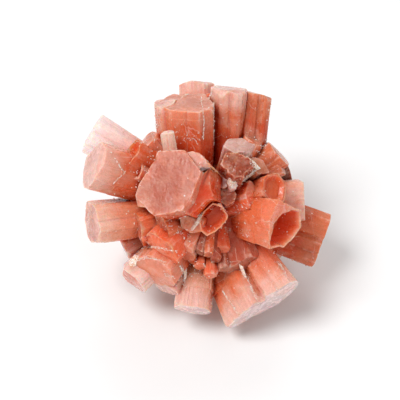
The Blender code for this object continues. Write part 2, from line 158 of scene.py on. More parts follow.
# Tints of a crystal as seen on a screen: its end, its sides near the end, further down and at the root.
TINTS = {
    "warm": ("#D29B93", "#EFC4AE", "#EC9676", "#B23310"),
    "orange": ("#D8998C", "#EA9C80", "#E2673F", "#B63A14"),
    "rose": ("#C4705F", "#E0907A", "#DC5A32", "#B03410"),
    "pale": ("#E0B4A9", "#EDBFAD", "#E2724C", "#B83C16"),
    "blush": ("#DB8A7C", "#EFCFC2", "#E2805E", "#B83C16"),
    "lilac": ("#F0DCD8", "#EDBFAE", "#E67E5A", "#BC4218"),
    "cream": ("#F0D2C4", "#F0D0C0", "#E8A88C", "#BC5A34"),
    "white": ("#ECD6D0", "#EAC0B2", "#E29A7E", "#C05A34"),
    "wedge": ("#E39A80", "#E0805C", "#D2562E", "#A83210"),
    "pearl": ("#D2AAA2", "#D9B4AC", "#D08468", "#A84A2A"),
    # A pale tint made paler still as painted light: the crystal that wears it faces the lamp.
    "frosty_and_lit": ("#F6E4DE", "#FDEDE8", "#F4CFC2", "#D26A48"),
    "peach": ("#E9977F", "#EC9E84", "#EE7250", "#B94420"),
    "salmon": ("#EE8464", "#EE7A58", "#E25E38", "#B83C16"),
    "glow": ("#EA5418", "#EA5A20", "#D84614", "#9A2402"),
    # Painted shade: a dark red for a crystal that stands in shade in the middle of the cluster.
    "painted_shade_red": ("#A8401F", "#A83C1C", "#962C10", "#7A1E08"),
    "mauve": ("#BC6E5E", "#C5664F", "#CE5A3C", "#A83A1A"),
    "amber": ("#C8684C", "#E27A54", "#E07048", "#962F12"),
    "flared": ("#E08A68", "#EE9276", "#E67C58", "#B03C18"),
    "granular": ("#A6543E", "#B05238", "#B0421F", "#8E2A10"),
    # Partly painted shade: darker than orange on the crystals at the right, which stand in shade; elsewhere
    # a plain tint.
    "brown": ("#C87A60", "#DC8666", "#D05A30", "#8A2E12"),
    # Painted shade: a dark brown for crystals at the back right, which stand in shade.
    "painted_shade_brown": ("#96604F", "#925240", "#7C3824", "#5E1E10"),
}
DEFAULT_TINT = "orange"


def stub(width, depth, turn=0.0, seed=1, groove=False):
    """Outline of a twinned crystal: six uneven sides with blunted corners, and a groove on one of them."""
    rng = random.Random(seed)
    corners = []
    for k in range(6):
        angle = math.radians(turn + 60.0 * k + rng.uniform(-CORNER_WANDER, CORNER_WANDER))
        reach = CORNER_REACH * rng.uniform(*REACH_SPREAD)
        corners.append(Vector((width * reach * math.cos(angle), depth * reach * math.sin(angle))))
    points = []
    for k in range(6):
        before, here, after = corners[k - 1], corners[k], corners[(k + 1) % 6]
        points.append(here.lerp(before, CORNER_SHARE))
        points.append(here.lerp(after, CORNER_SHARE))
        if groove and k == 1:
            start, end = GROOVE_SPAN
            points.append(here.lerp(after, start))
            points.append(here.lerp(after, 0.5) * GROOVE_SHARE)
            points.append(here.lerp(after, end))
    return tuple((p.x, p.y) for p in points)


def crystal(tip, root, outline, facing=TOWARDS, taper=ROOT_SCALE, tilt=(0.0, 0.0), cup=None, chips=2,
            tint=DEFAULT_TINT, rough=0.0):
    """One row of the layout, as the solids have it. `rough` is how broken the end is, in millimetres."""
    return {
        "tip": np.array(tip, float), "root": np.array(root, float), "outline": outline, "facing": facing,
        "taper": taper, "tilt": tilt, "cup": cup, "chips": 0 if cup else chips,
        "tint": tint, "rough": rough, "spacing": NEAR_SPACING,
    }


def front_side():
    """The crystals of the front view, each placed by where its end face is seen."""
    return [
        crystal((-8.2, 4.3, 20), (0, 0, 0), HEXAGON, UP, 0.66, chips=0, tint="rose"),
        crystal((-7.7, 4.1, 18.7), (0, 0, 0), PLATE, UP, 0.66, chips=0),
        crystal((-2.4, 2.7, 19.8), (4.1, -0.8, 4), SHOULDER, UP, 0.7, tilt=(-0.95, 0.55), chips=0,
                tint="glow"),
        crystal((-8.55, 14, 13.5), (-7, 5, 10), stub(2.9, 2.4, 45, 3), UP, 1, chips=0, tint="cream"),
        crystal((-5, 19.9, 9), (-4.5, 2, 0), DRUM, UP, 0.9, chips=0),
        crystal((-9.1, 20.3, 8.4), (-7.6, 4, 2), stub(4.4, 6.4, 20, 5), UP, 0.95, tilt=(0.1, 0.1),
                tint="pale", rough=0.4),
        crystal((-3.1, 24.6, -2), (-2.8, 3, 0), stub(7.2, 6, 0, 7), taper=0.85, tint="pale"),
        crystal((3.6, 22.9, 5.5), (2.2, 3, 0), stub(7.2, 6.5, 10, 8, True), taper=0.86, tint="pale"),
        crystal((8.4, 22.4, 1), (6.4, 3, 0), stub(8.2, 7, 25, 9, True), taper=0.92, tilt=(0.2, 0),
                tint="brown"),
        crystal((4.3, 7.5, 16.4), (2, 2, 3), GRANULAR, UP, 0.9, tilt=(0.12, -0.1), chips=0, tint="granular",
                rough=0.7),
        crystal((5.3, 11.5, 13), (3, 4, 4), stub(6.4, 3.6, 8, 11), UP, 0.9, tint="pearl", rough=0.3),
        # Painted shade: this crystal gets a dark red tint because it stands in shade.
        crystal((2, 5.3, 14.2), (1, 1, 4), stub(4.2, 4, 30, 12), UP, 0.9, tilt=(0.3, 0.2), tint="painted_shade_red"),
        crystal((3.8, 4.3, 15.4), (1.5, 1, 4), stub(2.2, 3, 0, 13), UP, 0.9, tint="white", rough=0.3),
        crystal((2.8, 1.9, 14.4), (1, 0, 4), stub(3.4, 3.8, 20, 14), UP, 0.9, tint="granular", rough=0.4),
        crystal((12, 3.3, 12.2), (3.4, 1, 2), stub(6.4, 6.2, 10, 15), UP, 0.95, cup=(0.5, 0.9),
                tint="amber", rough=0.3),
        crystal((13.8, -4.5, 15), (2, -1.5, 2), CUP_RIM, UP, 0.72, cup=(CUP_INSIDE, 5.0), tint="flared"),
        crystal((18.4, 1.1, 1), (4, 0.6, 0), stub(8.4, 6, 30, 17), taper=0.85, tint="pale"),
        # Painted shade: the crystals at the right stand in shade, so they get brown and dark brown tints.
        crystal((21.9, -7.2, -3), (4, -0.6, -1), SLAB, taper=0.95, chips=0, tint="brown"),
        crystal((11, 12.2, -4), (3, 3, -1), stub(4.4, 4, 0, 19), taper=0.9, tint="painted_shade_brown"),
        crystal((13.3, 10.3, 3), (3, 2, 0), stub(6.2, 5.4, 12, 20), taper=0.9, tint="brown"),
        crystal((15.4, 6.8, -2), (3, 1, 0), stub(5, 5, 25, 21), taper=0.9, tint="painted_shade_brown"),
        crystal((14, 7.4, 3.5), (3, 2, 1), stub(3.6, 3.4, 5, 22), taper=0.95, tint="brown"),
        crystal((9.7, -19.6, 7.5), (1.5, -5.4, 1.2), BLOCK, TOWARDS, 0.72, chips=0, tint="lilac"),
        crystal((-3.9, -20.5, 6), (-1.8, -5, 1), FOOTED, TOWARDS, 0.8, chips=0, tint="white"),
        crystal((-11.4, -13.1, 9.2), (-3, -3, 2), stub(8.8, 7.6, 5, 23), TOWARDS, 0.8, (0, -0.3), chips=1,
                tint="peach"),
        crystal((-10.1, -8.9, 11.8), (-2.4, -0.5, 6.4), stub(8.4, 5.8, 28, 41), TOWARDS, 0.9,
                tilt=(0.1, -0.3), rough=0.8, tint="salmon"),
        crystal((-15.8, -14.9, 6), (-4, -3.6, 1), stub(6.6, 6.4, 20, 24), taper=0.86, tint="blush"),
        crystal((-9, -16.6, 6), (-2.6, -4, 1), stub(6.8, 5, 0, 25), taper=0.86, tint="pale"),
        crystal((-23.6, -3.3, 8.5), (-4, -1, 1), stub(8.8, 8, 14, 26), taper=0.84, rough=0.3, tint="warm"),
        crystal((-23.3, 7.6, 12), (-4, 2, 2), LEFT_FRONT, TOWARDS, 0.84, tint="pale"),
        # A pale crystal, given the palest tint as painted light because it faces the lamp.
        crystal((-24.3, 14.4, 0), (-5, 2.6, -1), stub(8.8, 6, 8, 28), taper=0.84, tint="frosty_and_lit"),
        crystal((-15.5, 10.2, 12), (-4, 3, 3), stub(5.6, 4.6, 30, 29), taper=0.95, cup=(0.4, 1.2),
                tint="amber"),
        crystal((-14.5, 6.6, 12), (-4, 1.6, 3), stub(3.6, 3.4, 0, 30), taper=0.95, cup=(0.4, 0.8)),
        crystal((-12.9, 12.6, 8), (-4, 3, 2), stub(5.6, 5, 12, 31), taper=0.95, rough=0.4),
        crystal((0.2, -2.4, 17), (0, 0, 4), CENTRE_CUP, UP, 0.9, cup=(0.25, 3.2), tint="flared"),
        crystal((-4.2, -3.6, 15.4), (-1, -1, 5), stub(5.2, 4, 20, 33), UP, 0.95, tilt=(0.4, 0.2),
                tint="wedge", rough=0.5),
        crystal((-0.4, -13.7, 10), (0, -2, 3), stub(3, 2.8, 10, 34), taper=0.95, tint="salmon"),
        crystal((-2.4, -12, 9.6), (-1, -2, 3), stub(2.4, 2.4, 0, 35), taper=0.95, tint="salmon"),
        crystal((-3.6, -11, 8.6), (-1, -2, 3), stub(2.8, 2.4, 20, 36), taper=0.95, tint="salmon"),
        crystal((-4.8, -9.8, 11), (-1, -2, 3), stub(3.4, 3, 30, 37), taper=0.95, tint="amber"),
        crystal((-11.8, 13.2, 8), (-5, 4, 3), stub(2.5, 2.5, 15, 38), taper=0.95),
        crystal((-17.6, -8.8, 2), (-4, -2, 0), stub(4.4, 4, 0, 39), taper=0.9, tint="lilac"),
        crystal((6.3, -12.2, 7.8), (1, -1, 7), stub(7.2, 4.6, 10, 40), TOWARDS, 0.9, tilt=(0, -0.7),
                tint="mauve", rough=0.5),
        crystal((-9.8, -4.6, 12.6), (-1.5, -0.5, 8.6), stub(5.8, 4.2, 12, 42), TOWARDS, 0.95,
                tilt=(0.1, -0.2), rough=0.8, tint="amber"),
        crystal((-14.6, -5, 9), (-3, -1, 7), stub(6.6, 5.2, 0, 43), TOWARDS, 0.95, tilt=(0.2, -0.2),
                rough=0.8, tint="amber"),
        crystal((8.2, 1.6, 12.2), (2, 0.5, 8), stub(6.6, 4.2, 18, 44), TOWARDS, 0.95, tilt=(0, -0.4),
                rough=0.6, tint="salmon"),
        crystal((2, -9, 10.4), (0.5, -1, 7), stub(3.4, 3.2, 6, 45), TOWARDS, 0.95, tilt=(0.1, -0.4),
                rough=0.6, tint="salmon"),
        crystal((-13.8, 2, 13), (-3, 1, 3), stub(4.6, 5.4, 4, 46), UP, 0.95, tilt=(0.4, 0), rough=0.6),
        crystal((9, 7.6, 11), (3, 2, 3), stub(4.8, 4.2, 22, 47), UP, 0.95, tint="brown"),
        crystal((8.2, 13, 4), (3, 4, 0), stub(4.8, 4.4, 0, 48), UP, 0.95, tint="brown"),
        crystal((0.9, 22, 4), (-0.4, 3, 1), stub(4.2, 4, 12, 49), taper=0.95, tint="salmon"),
        crystal((-2.6, -9.2, 11.4), (-0.6, -1.4, 9), stub(2.6, 2.2, 5, 81), taper=0.9, tilt=(0.3, -0.4),
                rough=0.3, tint="granular"),
        crystal((-0.9, -9.8, 11.6), (-0.2, -1.4, 9.2), stub(2.2, 2.4, 25, 82), taper=0.9, tilt=(0, -0.6),
                rough=0.3, tint="amber"),
        crystal((0.6, -10.8, 11), (0.2, -1.4, 8.8), stub(2.4, 2, 14, 83), taper=0.9, tilt=(0.2, -0.5),
                rough=0.3, tint="granular"),
        crystal((-5, -8.6, 11.8), (-1.4, -1.4, 8.6), stub(3, 2.4, 0, 84), taper=0.9, tilt=(0.2, -0.4),
                rough=0.3, tint="peach"),
        crystal((2.2, -12.6, 9.6), (0.6, -1.6, 7.4), stub(2.6, 2.4, 9, 85), taper=0.9, tilt=(-0.2, -0.4),
                rough=0.3, tint="granular"),
    ]


def far_side():
    """The crystals behind and below, which the front view hides: a guess in keeping with the rest."""
    return [
        crystal((-7, 11, -13), (-1.5, 2, -2), stub(8.4, 7.4, 10, 51, True)),
        crystal((2, 17, -12), (0.5, 3, -2), stub(9, 7.8, 0, 52), tint="pale"),
        crystal((8.5, 11, -13), (2, 2, -2), stub(8, 7.2, 20, 53, True), tint="rose"),
        crystal((15, 3, -12), (2.5, 0.5, -2), stub(8.8, 7.8, 5, 54)),
        crystal((14, -8, -12), (2.5, -1.5, -2), stub(8.4, 7.6, 15, 55), tint="lilac"),
        crystal((-16, 3, -12), (-2.5, 0.5, -2), stub(8.8, 8, 0, 56, True), tint="pale"),
        crystal((-12, -6, -13), (-2, -1, -2), stub(8.2, 7.4, 25, 57)),
        crystal((-5, 6, -19), (-0.5, 1, -3), stub(8.8, 7.8, 10, 58), UP, tint="rose"),
        crystal((6, 7, -18), (0.8, 1, -3), stub(9, 8, 0, 59), UP, cup=(0.6, 2.2)),
        crystal((0, 13, -17), (0, 2, -3), stub(6.8, 6.4, 20, 60), tint="lilac"),
        crystal((-10, 5, -15), (-1.5, 1, -2.5), stub(5.8, 5.4, 5, 61), tint="brown"),
    ]


def either_way(rng, most):
    """A random slope in two directions."""
    return rng.uniform(-most, most), rng.uniform(-most, most)


def companions(rows):
    """A thinner crystal against each long one, parallel to it and stopping short: a ledge near its end."""
    made = []
    for k, row in enumerate(rows):
        rng = random.Random(COMPANION_SEED + k)
        across, second, along = axes_of(row)
        reach = max(math.hypot(u, v) for u, v in row["outline"])
        angle = rng.uniform(0.0, 2.0 * math.pi)
        beside = (across * math.cos(angle) + second * math.sin(angle)) * reach * COMPANION_OFFSET
        short = rng.uniform(*COMPANION_SHORT) * length_of(row)
        outline = stub(reach * COMPANION_WIDTH, reach, rng.uniform(0.0, 60.0), COMPANION_OUTLINES + k)
        tilt = either_way(rng, COMPANION_TILT)
        tip = row["tip"] + beside - along * short
        root = row["root"] + beside * COMPANION_SPLAY
        made.append(crystal(tip, root, outline, row["facing"], GUESSED_TAPER, tilt=tilt, tint=row["tint"]))
    return made


def fillers():
    """Shorter crystals between the long ones, spread evenly over the ball and varied by a fixed seed."""
    rng = random.Random(FILLER_SEED)
    rows = []
    for k in range(FILLER_COUNT):
        height = 1.0 - 2.0 * (k + 0.5) / FILLER_COUNT
        across = math.sqrt(1.0 - height * height)
        angle = GOLDEN_ANGLE * k
        way = np.array((across * math.cos(angle), height, across * math.sin(angle)))
        length = rng.uniform(*FILLER_LENGTH)
        width = rng.uniform(*FILLER_WIDTH)
        turn = rng.uniform(0.0, 60.0)
        tilt = either_way(rng, FILLER_TILT)
        if way[2] < FILLER_FRONT:
            outline = stub(width, width * FILLER_FLATNESS, turn, FILLER_OUTLINES + k)
            rows.append(crystal(way * length, way * FILLER_ROOT, outline, UP, GUESSED_TAPER, tilt=tilt,
                                rough=FILLER_ROUGHNESS, tint=FILLER_TINTS[k % len(FILLER_TINTS)]))
    return rows


def feet():
    """The crystals that it stands on, run a little past the floor so that the cut there leaves flat ends."""
    down = np.array((0.0, -math.sin(LEAN), -math.cos(LEAN)))
    return [
        crystal(down * (CENTRE_HEIGHT + 2), down * 3, stub(9, 8.4, 10, 71)),
        crystal((0.5, -3.5, -22), (0, -0.5, -3), stub(8.6, 7.6, 15, 72), UP, tint="pale"),
        crystal((-8.5, -6, -19.5), (-1, -1, -3), stub(7.6, 7.2, 0, 73), UP),
        crystal((9, -6, -19.5), (1, -1, -3), stub(7.8, 7, 25, 74), UP, tint="rose"),
        crystal((-6, -17, -7.5), (-1, -3, -1), stub(6.8, 6.8, 5, 75), tint="pale"),
        crystal((8, -17, -7.5), (1.2, -3, -1), stub(7.4, 7.2, 20, 76)),
    ]


def length_of(row):
    return float(np.linalg.norm(row["tip"] - row["root"]))


def axes_of(row):
    """The crystal's own axes: across, across again and along, right-handed."""
    along = (row["tip"] - row["root"]) / length_of(row)
    second = row["facing"] - along * row["facing"].dot(along)
    second = second / np.linalg.norm(second)
    return np.cross(second, along), second, along


def to_world(points):
    """Growth frame to metres, for an array of points."""
    x, y, z = np.asarray(points, float).T
    lean_s, lean_c = math.sin(LEAN), math.cos(LEAN)
    placed = np.stack((x, y * lean_s - z * lean_c, y * lean_c + z * lean_s + CENTRE_HEIGHT), -1) * MM
    return placed + SHIFT


def world_spot(x, y, z):
    """One point of the growth frame, in metres."""
    return Vector(to_world(np.array([(x, y, z)]))[0])


def mesh_data(name, mesh):
    """The finished mesh as data of that name."""
    data = bpy.data.meshes.new(name)
    mesh.to_mesh(data)
    mesh.free()
    return data


def linked(name, data):
    """A new object of the scene, made from that data."""
    made = bpy.data.objects.new(name, data)
    bpy.context.scene.collection.objects.link(made)
    return made


def srgb(code):
    """A screen colour such as #D9A79B as the linear values that shaders take."""
    parts = [int(code[k:k + 2], 16) / 255.0 for k in (1, 3, 5)]
    return tuple(c / 12.92 if c <= 0.04045 else ((c + 0.055) / 1.055) ** 2.4 for c in parts)


def counter_clockwise(outline):
    area = sum(a[0] * b[1] - b[0] * a[1] for a, b in zip(outline, outline[1:] + outline[:1]))
    return outline if area > 0 else outline[::-1]


def inside_of(outline, rim):
    """The outline moved in by about the width of the rim."""
    reach = sum(math.hypot(u, v) for u, v in outline) / len(outline)
    share = 1.0 - rim / reach
    return tuple((u * share, v * share) for u, v in outline)


# How the surface of a crystal is worked: lengths in millimetres and slants in degrees.
CORNER_CUT = 0.16
CORNER_CUT_SHARE = 0.3
EDGE_BEVEL = 0.14
STRIATION = 0.055
SWELL = 0.07
GROOVE_DEPTH = (0.10, 0.34)
GROOVE_HALF = (0.22, 0.5)
LEDGE_DROP = (0.8, 7.0)
LEDGE_STEP = (0.06, 0.2)
LEDGE_HALF = 0.04
LEDGE_SPREAD = 0.35
END_RELIEF = 0.04
NICK_COUNT = (5, 10)
NICK_INSET = (0.15, 0.55)
NICK_SLANT = (20.0, 65.0)
NICK_REACH = 1.1
NICK_FADE = 1.4
FACET_INSET = (0.4, 1.0)
FACET_SLANT = (77.0, 84.0)
RAGGED_LIP = 0.22
GROOVE_SEED = 9000
FACET_SEED = 800
NICK_SEED = 700
RING_DROPS = (0.14, 0.3, 0.55, 0.9, 1.4, 2.0, 2.7, 3.5, 4.4, 5.5, 6.8, 8.4, 10.4, 13.0, 17.0)
CAP_SCALES = (0.955, 0.88, 0.76, 0.6, 0.42, 0.22)
# CAP_EDGES and LIP_EDGE set the edge value of an end's rings and of a cup's lip, which the material turns
# into a painted highlight.
CAP_EDGES = (0.4, 0.25, 0.16, 0.08, 0.0, 0.0)
CUP_STEPS = 5
CUP_LUMPS = 0.18
CUP_ROUGHNESS = 0.12
CUP_FLOOR_SCALES = (0.8, 0.55, 0.3)
LIP_EDGE = 0.45


def dense_outline(outline, spacing):
    """The outline with blunted corners and points along its sides: points, outward normals and how near
    each is to a corner."""
    corners = [np.array(p) for p in outline]
    count = len(corners)
    points, edge = [], []
    for k in range(count):
        before, here, after = corners[k - 1], corners[k], corners[(k + 1) % count]
        back, ahead = before - here, after - here
        back_length, ahead_length = np.linalg.norm(back), np.linalg.norm(ahead)
        cut_back = min(CORNER_CUT, CORNER_CUT_SHARE * back_length)
        cut_ahead = min(CORNER_CUT, CORNER_CUT_SHARE * ahead_length)
        first = here + back / back_length * cut_back
        last = here + ahead / ahead_length * cut_ahead
        middle = 0.25 * first + 0.5 * here + 0.25 * last
        run = ahead_length - cut_ahead - cut_ahead
        steps = max(1, int(round(run / spacing)))
        points += [first, middle, last]
        edge += [0.5, 1.0, 0.5]
        for j in range(1, steps):
            points.append(last + ahead / ahead_length * run * j / steps)
            edge.append(0.0)
    points = np.array(points)
    along = np.roll(points, -1, 0) - np.roll(points, 1, 0)
    normals = np.stack((along[:, 1], -along[:, 0]), -1)
    normals /= np.linalg.norm(normals, axis=1, keepdims=True)
    return points, normals, np.array(edge)


def field(points, scale, offset):
    """Smooth noise from -1 to 1 at each of the points."""
    shift = Vector((offset * 17.3, offset * 5.1, offset * 29.7))
    return np.array([noise.noise(Vector(p) * scale + shift) for p in points])


def flat_points(points, height):
    return np.column_stack((points, np.full(len(points), height)))


def side_grooves(points, edge, rng):
    """How far each point of an outline sits inwards, the same all the way along the crystal."""
    depth = STRIATION * np.array([rng.random() for _ in points]) * (1.0 - 0.5 * edge)
    for _ in range(rng.randint(2, 4)):
        centre = points[rng.randrange(len(points))]
        half = rng.uniform(*GROOVE_HALF)
        deep = rng.uniform(*GROOVE_DEPTH)
        away = np.linalg.norm(points - centre, axis=1)
        depth += deep * np.clip(1.0 - away / half, 0.0, 1.0)
    return depth


def edge_plane(row, u, v, inset, slant):
    """A plane that cuts the end near (u, v): `inset` inwards from there and leaning `slant` degrees."""
    across, second, along = axes_of(row)
    reach = max(0.5, math.hypot(u, v))
    outwards = (across * u + second * v) / reach
    lean = math.radians(slant)
    return row["tip"] + outwards * (reach - inset), outwards * math.cos(lean) + along * math.sin(lean)


def chip_planes(row, seed):
    """Planes that take a corner off the end, as (point, normal)."""
    rng = random.Random(seed)
    planes = []
    for _ in range(row["chips"]):
        u, v = rng.choice(row["outline"])
        size = rng.uniform(*CHIP_SIZE) * min(1.0, math.hypot(u, v) / CHIP_FULL_REACH)
        planes.append(edge_plane(row, u, v, size, rng.uniform(*CHIP_SLANT)))
    return planes


def facet_planes(row, seed):
    """Shallow planes that facet the end of a broken crystal."""
    rng = random.Random(seed)
    planes = []
    for _ in range(rng.randint(1, 3) if row["chips"] else 0):
        u, v = rng.choice(row["outline"])
        inset = rng.uniform(*FACET_INSET) * math.hypot(u, v)
        planes.append(edge_plane(row, u, v, inset, rng.uniform(*FACET_SLANT)))
    return planes


def nicks(row, seed):
    """Small breaks along the edge of the end: a plane for each, and the point that it stays near."""
    rng = random.Random(seed)
    across, second, _ = axes_of(row)
    outline = row["outline"]
    made = []
    for _ in range(rng.randint(*NICK_COUNT)):
        k = rng.randrange(len(outline))
        t = rng.random()
        start, end = outline[k], outline[(k + 1) % len(outline)]
        u, v = start[0] + (end[0] - start[0]) * t, start[1] + (end[1] - start[1]) * t
        plane = edge_plane(row, u, v, rng.uniform(*NICK_INSET), rng.uniform(*NICK_SLANT))
        made.append(plane + (row["tip"] + across * u + second * v,))
    return made


def wear_and_edge_highlight(points, row, number):
    """The points pressed back behind the planes of chips, facets and nicks."""
    for point, normal in chip_planes(row, CHIP_SEED + number) + facet_planes(row, FACET_SEED + number):
        over = np.maximum((points - point) @ normal, 0.0)
        points = points - np.outer(over, normal)
    for point, normal, middle in nicks(row, NICK_SEED + number):
        near = np.clip(NICK_FADE - np.linalg.norm(points - middle, axis=1) / NICK_REACH, 0.0, 1.0)
        over = np.maximum((points - point) @ normal, 0.0) * near
        points = points - np.outer(over, normal)
    return points


class Rings:
    """Rings of points up one crystal and over its end, all with as many points as its outline."""

    def __init__(self, row):
        self.row = row
        self.across, self.second, self.along = axes_of(row)
        self.length = length_of(row)
        self.verts, self.drops, self.edges, self.kinds = [], [], [], []

    def add(self, flat, drop, lift, edge, kind):
        """A ring `drop` below the end, with the kind of the faces between it and the ring before."""
        base = self.row["root"] + self.along * (self.length - drop)
        made = base + np.outer(flat[:, 0], self.across) + np.outer(flat[:, 1], self.second)
        self.verts.append(made + np.outer(lift, self.along))
        self.drops.append(np.full(len(flat), drop))
        self.edges.append(edge)
        self.kinds.append(kind)

    def leaning(self, flat, drop=0.0):
        """The end's slope, which dies away down the crystal."""
        slope = flat[:, 0] * self.row["tilt"][0] + flat[:, 1] * self.row["tilt"][1]
        return slope * max(0.0, 1.0 - drop / self.length)


def with_ledges(inwards, angles, ledges, drop):
    """How far in the points sit once each ledge further down has set them back."""
    for ledge, step, turn in ledges:
        if drop < ledge:
            inwards = inwards + step * (np.cos(angles - turn) > LEDGE_SPREAD)
    return inwards


def end_height(row, number, flat):
    """Relief of the end: shallow growth steps, or a broken surface where the row says so."""
    at = flat_points(flat, 0.0)
    broad = field(at, 0.45, number + 0.5)
    small = field(at, 1.6, number + 0.7)
    height = END_RELIEF * (np.floor(broad * 5.0) / 5.0 + 0.15 * small)
    if row["rough"]:
        height = height + row["rough"] * (0.8 * field(at, 0.38, number + 0.2) + 0.45 * small
                                          + 0.25 * field(at, 3.1, number + 0.9)) - 0.4 * row["rough"]
    return height


def side_rings(rings, number, points, normals, edge, grooves, ledges):
    """Rings from the root up to the edge of the end. Gives back the last one's points."""
    row, length = rings.row, rings.length
    angles = np.arctan2(points[:, 1], points[:, 0])
    levels = sorted({d for d in RING_DROPS if d < length - 1.0} | {length}
                    | {d + s for d, _, _ in ledges for s in (-LEDGE_HALF, LEDGE_HALF) if d < length - 2.0})
    for drop in reversed(levels):
        share = drop / length
        scale = 1.0 + (row["taper"] - 1.0) * share
        inwards = with_ledges(grooves * (1.0 - 0.5 * share), angles, ledges, drop)
        waves = field(flat_points(points * scale, drop * 0.35), 0.55, number)
        swell = SWELL * (1.0 + 3.0 * row["rough"]) * waves
        flat = (points - normals * inwards[:, None]) * scale + normals * swell[:, None]
        rings.add(flat, drop, rings.leaning(flat, drop), edge, 0)
    inwards = with_ledges(grooves, angles, ledges, 0.0)
    return points - normals * (inwards + EDGE_BEVEL * (0.6 + 0.4 * edge))[:, None]


def cup_rings(rings, number, outline, points, edge, ragged):
    """The rim, wall and floor of a hollow end."""
    row = rings.row
    shape, depth = row["cup"]
    plain = isinstance(shape, float)
    inner = inside_of(outline, shape) if plain else counter_clockwise(tuple(shape))
    wall = matched_ring(points, outline, inner)
    rings.add(wall, 0.0, rings.leaning(wall) + ragged, np.full(len(wall), LIP_EDGE), 1 if plain else 0)
    for k in range(1, CUP_STEPS + 1):
        sunk = k / CUP_STEPS
        flat = wall * (1.0 - (1.0 - CUP_FLOOR_SCALE) * sunk)
        lumps = field(flat_points(flat, sunk * depth), 1.3, number + 0.3) * CUP_LUMPS
        flat = flat * (1.0 + lumps[:, None] * 0.25 * sunk)
        rings.add(flat, depth * sunk, rings.leaning(flat), edge * 0.5, 2)
    for scale in CUP_FLOOR_SCALES:
        flat = wall * CUP_FLOOR_SCALE * scale
        relief = max(row["rough"], CUP_ROUGHNESS) * (field(flat_points(flat, 0.0), 0.9, number) + 0.6)
        rings.add(flat, depth, rings.leaning(flat) + relief * 0.5, edge * 0.0, 2)
    return depth


def ring_faces(count, kinds):
    """Faces between the rings and fans that close both ends, with the kind of each."""
    faces, face_kinds = [], []
    for ring in range(1, len(kinds)):
        low, high = (ring - 1) * count, ring * count
        for k in range(count):
            after = (k + 1) % count
            faces.append((low + k, low + after, high + after, high + k))
            face_kinds.append(kinds[ring])
    last, foot = (len(kinds) - 1) * count, len(kinds) * count
    for k in range(count):
        after = (k + 1) % count
        faces += [(foot, after, k), (foot + 1, last + k, last + after)]
        face_kinds += [0, kinds[-1]]
    return faces, face_kinds


def crystal_arrays(row, number):
    """Vertices, faces, each vertex's distance below the end, its nearness to an edge and its share of the
    side grooves, and each face's kind: 0 for a side, 1 for an end and 2 for the inside of a cup."""
    rng = random.Random(GROOVE_SEED + number)
    outline = counter_clockwise(tuple(row["outline"]))
    points, normals, edge = dense_outline(outline, row["spacing"])
    grooves = side_grooves(points, edge, rng)
    ledges = [(rng.uniform(*LEDGE_DROP), rng.uniform(*LEDGE_STEP), rng.uniform(0.0, FULL_TURN))
              for _ in range(rng.randint(0, 2))]
    rings = Rings(row)
    top = side_rings(rings, number, points, normals, edge, grooves, ledges)
    relief = rings.leaning(top) + end_height(row, number, top) * 0.5
    if row["cup"]:
        ragged = RAGGED_LIP * (field(flat_points(points, 0.0), 0.8, number + 0.4) - 0.5)
        rings.add(top, 0.0, relief + ragged, np.full(len(top), LIP_EDGE), 0)
        depth, lift = cup_rings(rings, number, outline, points, edge, ragged), 0.0
    else:
        rings.add(top, 0.0, relief, np.full(len(top), 1.0), 0)
        for scale, near in zip(CAP_SCALES, CAP_EDGES):
            flat = top * scale
            lift = rings.leaning(flat) + end_height(row, number, flat)
            rings.add(flat, 0.0, lift, np.full(len(top), near), 1)
        depth, lift = 0.0, float(end_height(row, number, np.zeros((1, 2)))[0])
    end_centre = row["root"] + rings.along * (rings.length - depth + lift)
    placed = np.concatenate(rings.verts + [[row["root"], end_centre]])
    if not row["cup"]:
        placed = wear_and_edge_highlight(placed, row, number)
    faces, kinds = ring_faces(len(points), rings.kinds)
    drops = np.concatenate(rings.drops + [[rings.length, depth]])
    edges = np.concatenate(rings.edges + [[0.0, 0.0]])
    side_count = rings.kinds[1:].count(0)
    hollows = np.concatenate([grooves * (k <= side_count) for k in range(len(rings.kinds))] + [[0.0, 0.0]])
    return placed, faces, drops, edges, hollows, kinds


def matched_ring(points, outer, inner):
    """Points on the inner outline that lie opposite the points of the outer one."""
    outer, inner = np.array(outer), np.array(inner)
    made = []
    for p in points:
        best = None
        for k in range(len(outer)):
            a, b = outer[k], outer[(k + 1) % len(outer)]
            t = float(np.clip((p - a) @ (b - a) / ((b - a) @ (b - a)), 0.0, 1.0))
            gap = float(np.linalg.norm(a + (b - a) * t - p))
            if best is None or gap < best[0]:
                best = (gap, k, t)
        _, k, t = best
        made.append(inner[k] + (inner[(k + 1) % len(inner)] - inner[k]) * t)
    return np.array(made)


# The centre of growth in the frame of the solids, and how the union is finished.
SHIFT = np.array((0.001294, 0.000183, 0.0))
FLOOR_CUT = 0.06
CORE_BALL_STEPS = 5
CORE_DEPTH = 12.0
WELD_REACH = 1e-6


def layout():
    """All crystals, in the order that the solids have them. Hidden ones get fewer points."""
    far, standing = far_side(), feet()
    hidden = far + companions(far) + fillers()
    for row in hidden:
        row["spacing"] = FAR_SPACING
    for row in standing:
        row["spacing"] = FEET_SPACING
    return front_side() + hidden + standing


def fill_attribute(data, name, kind, domain, values, field_name):
    made = data.attributes.new(name, kind, domain)
    made.data.foreach_set(field_name, np.asarray(values, np.float32).ravel())


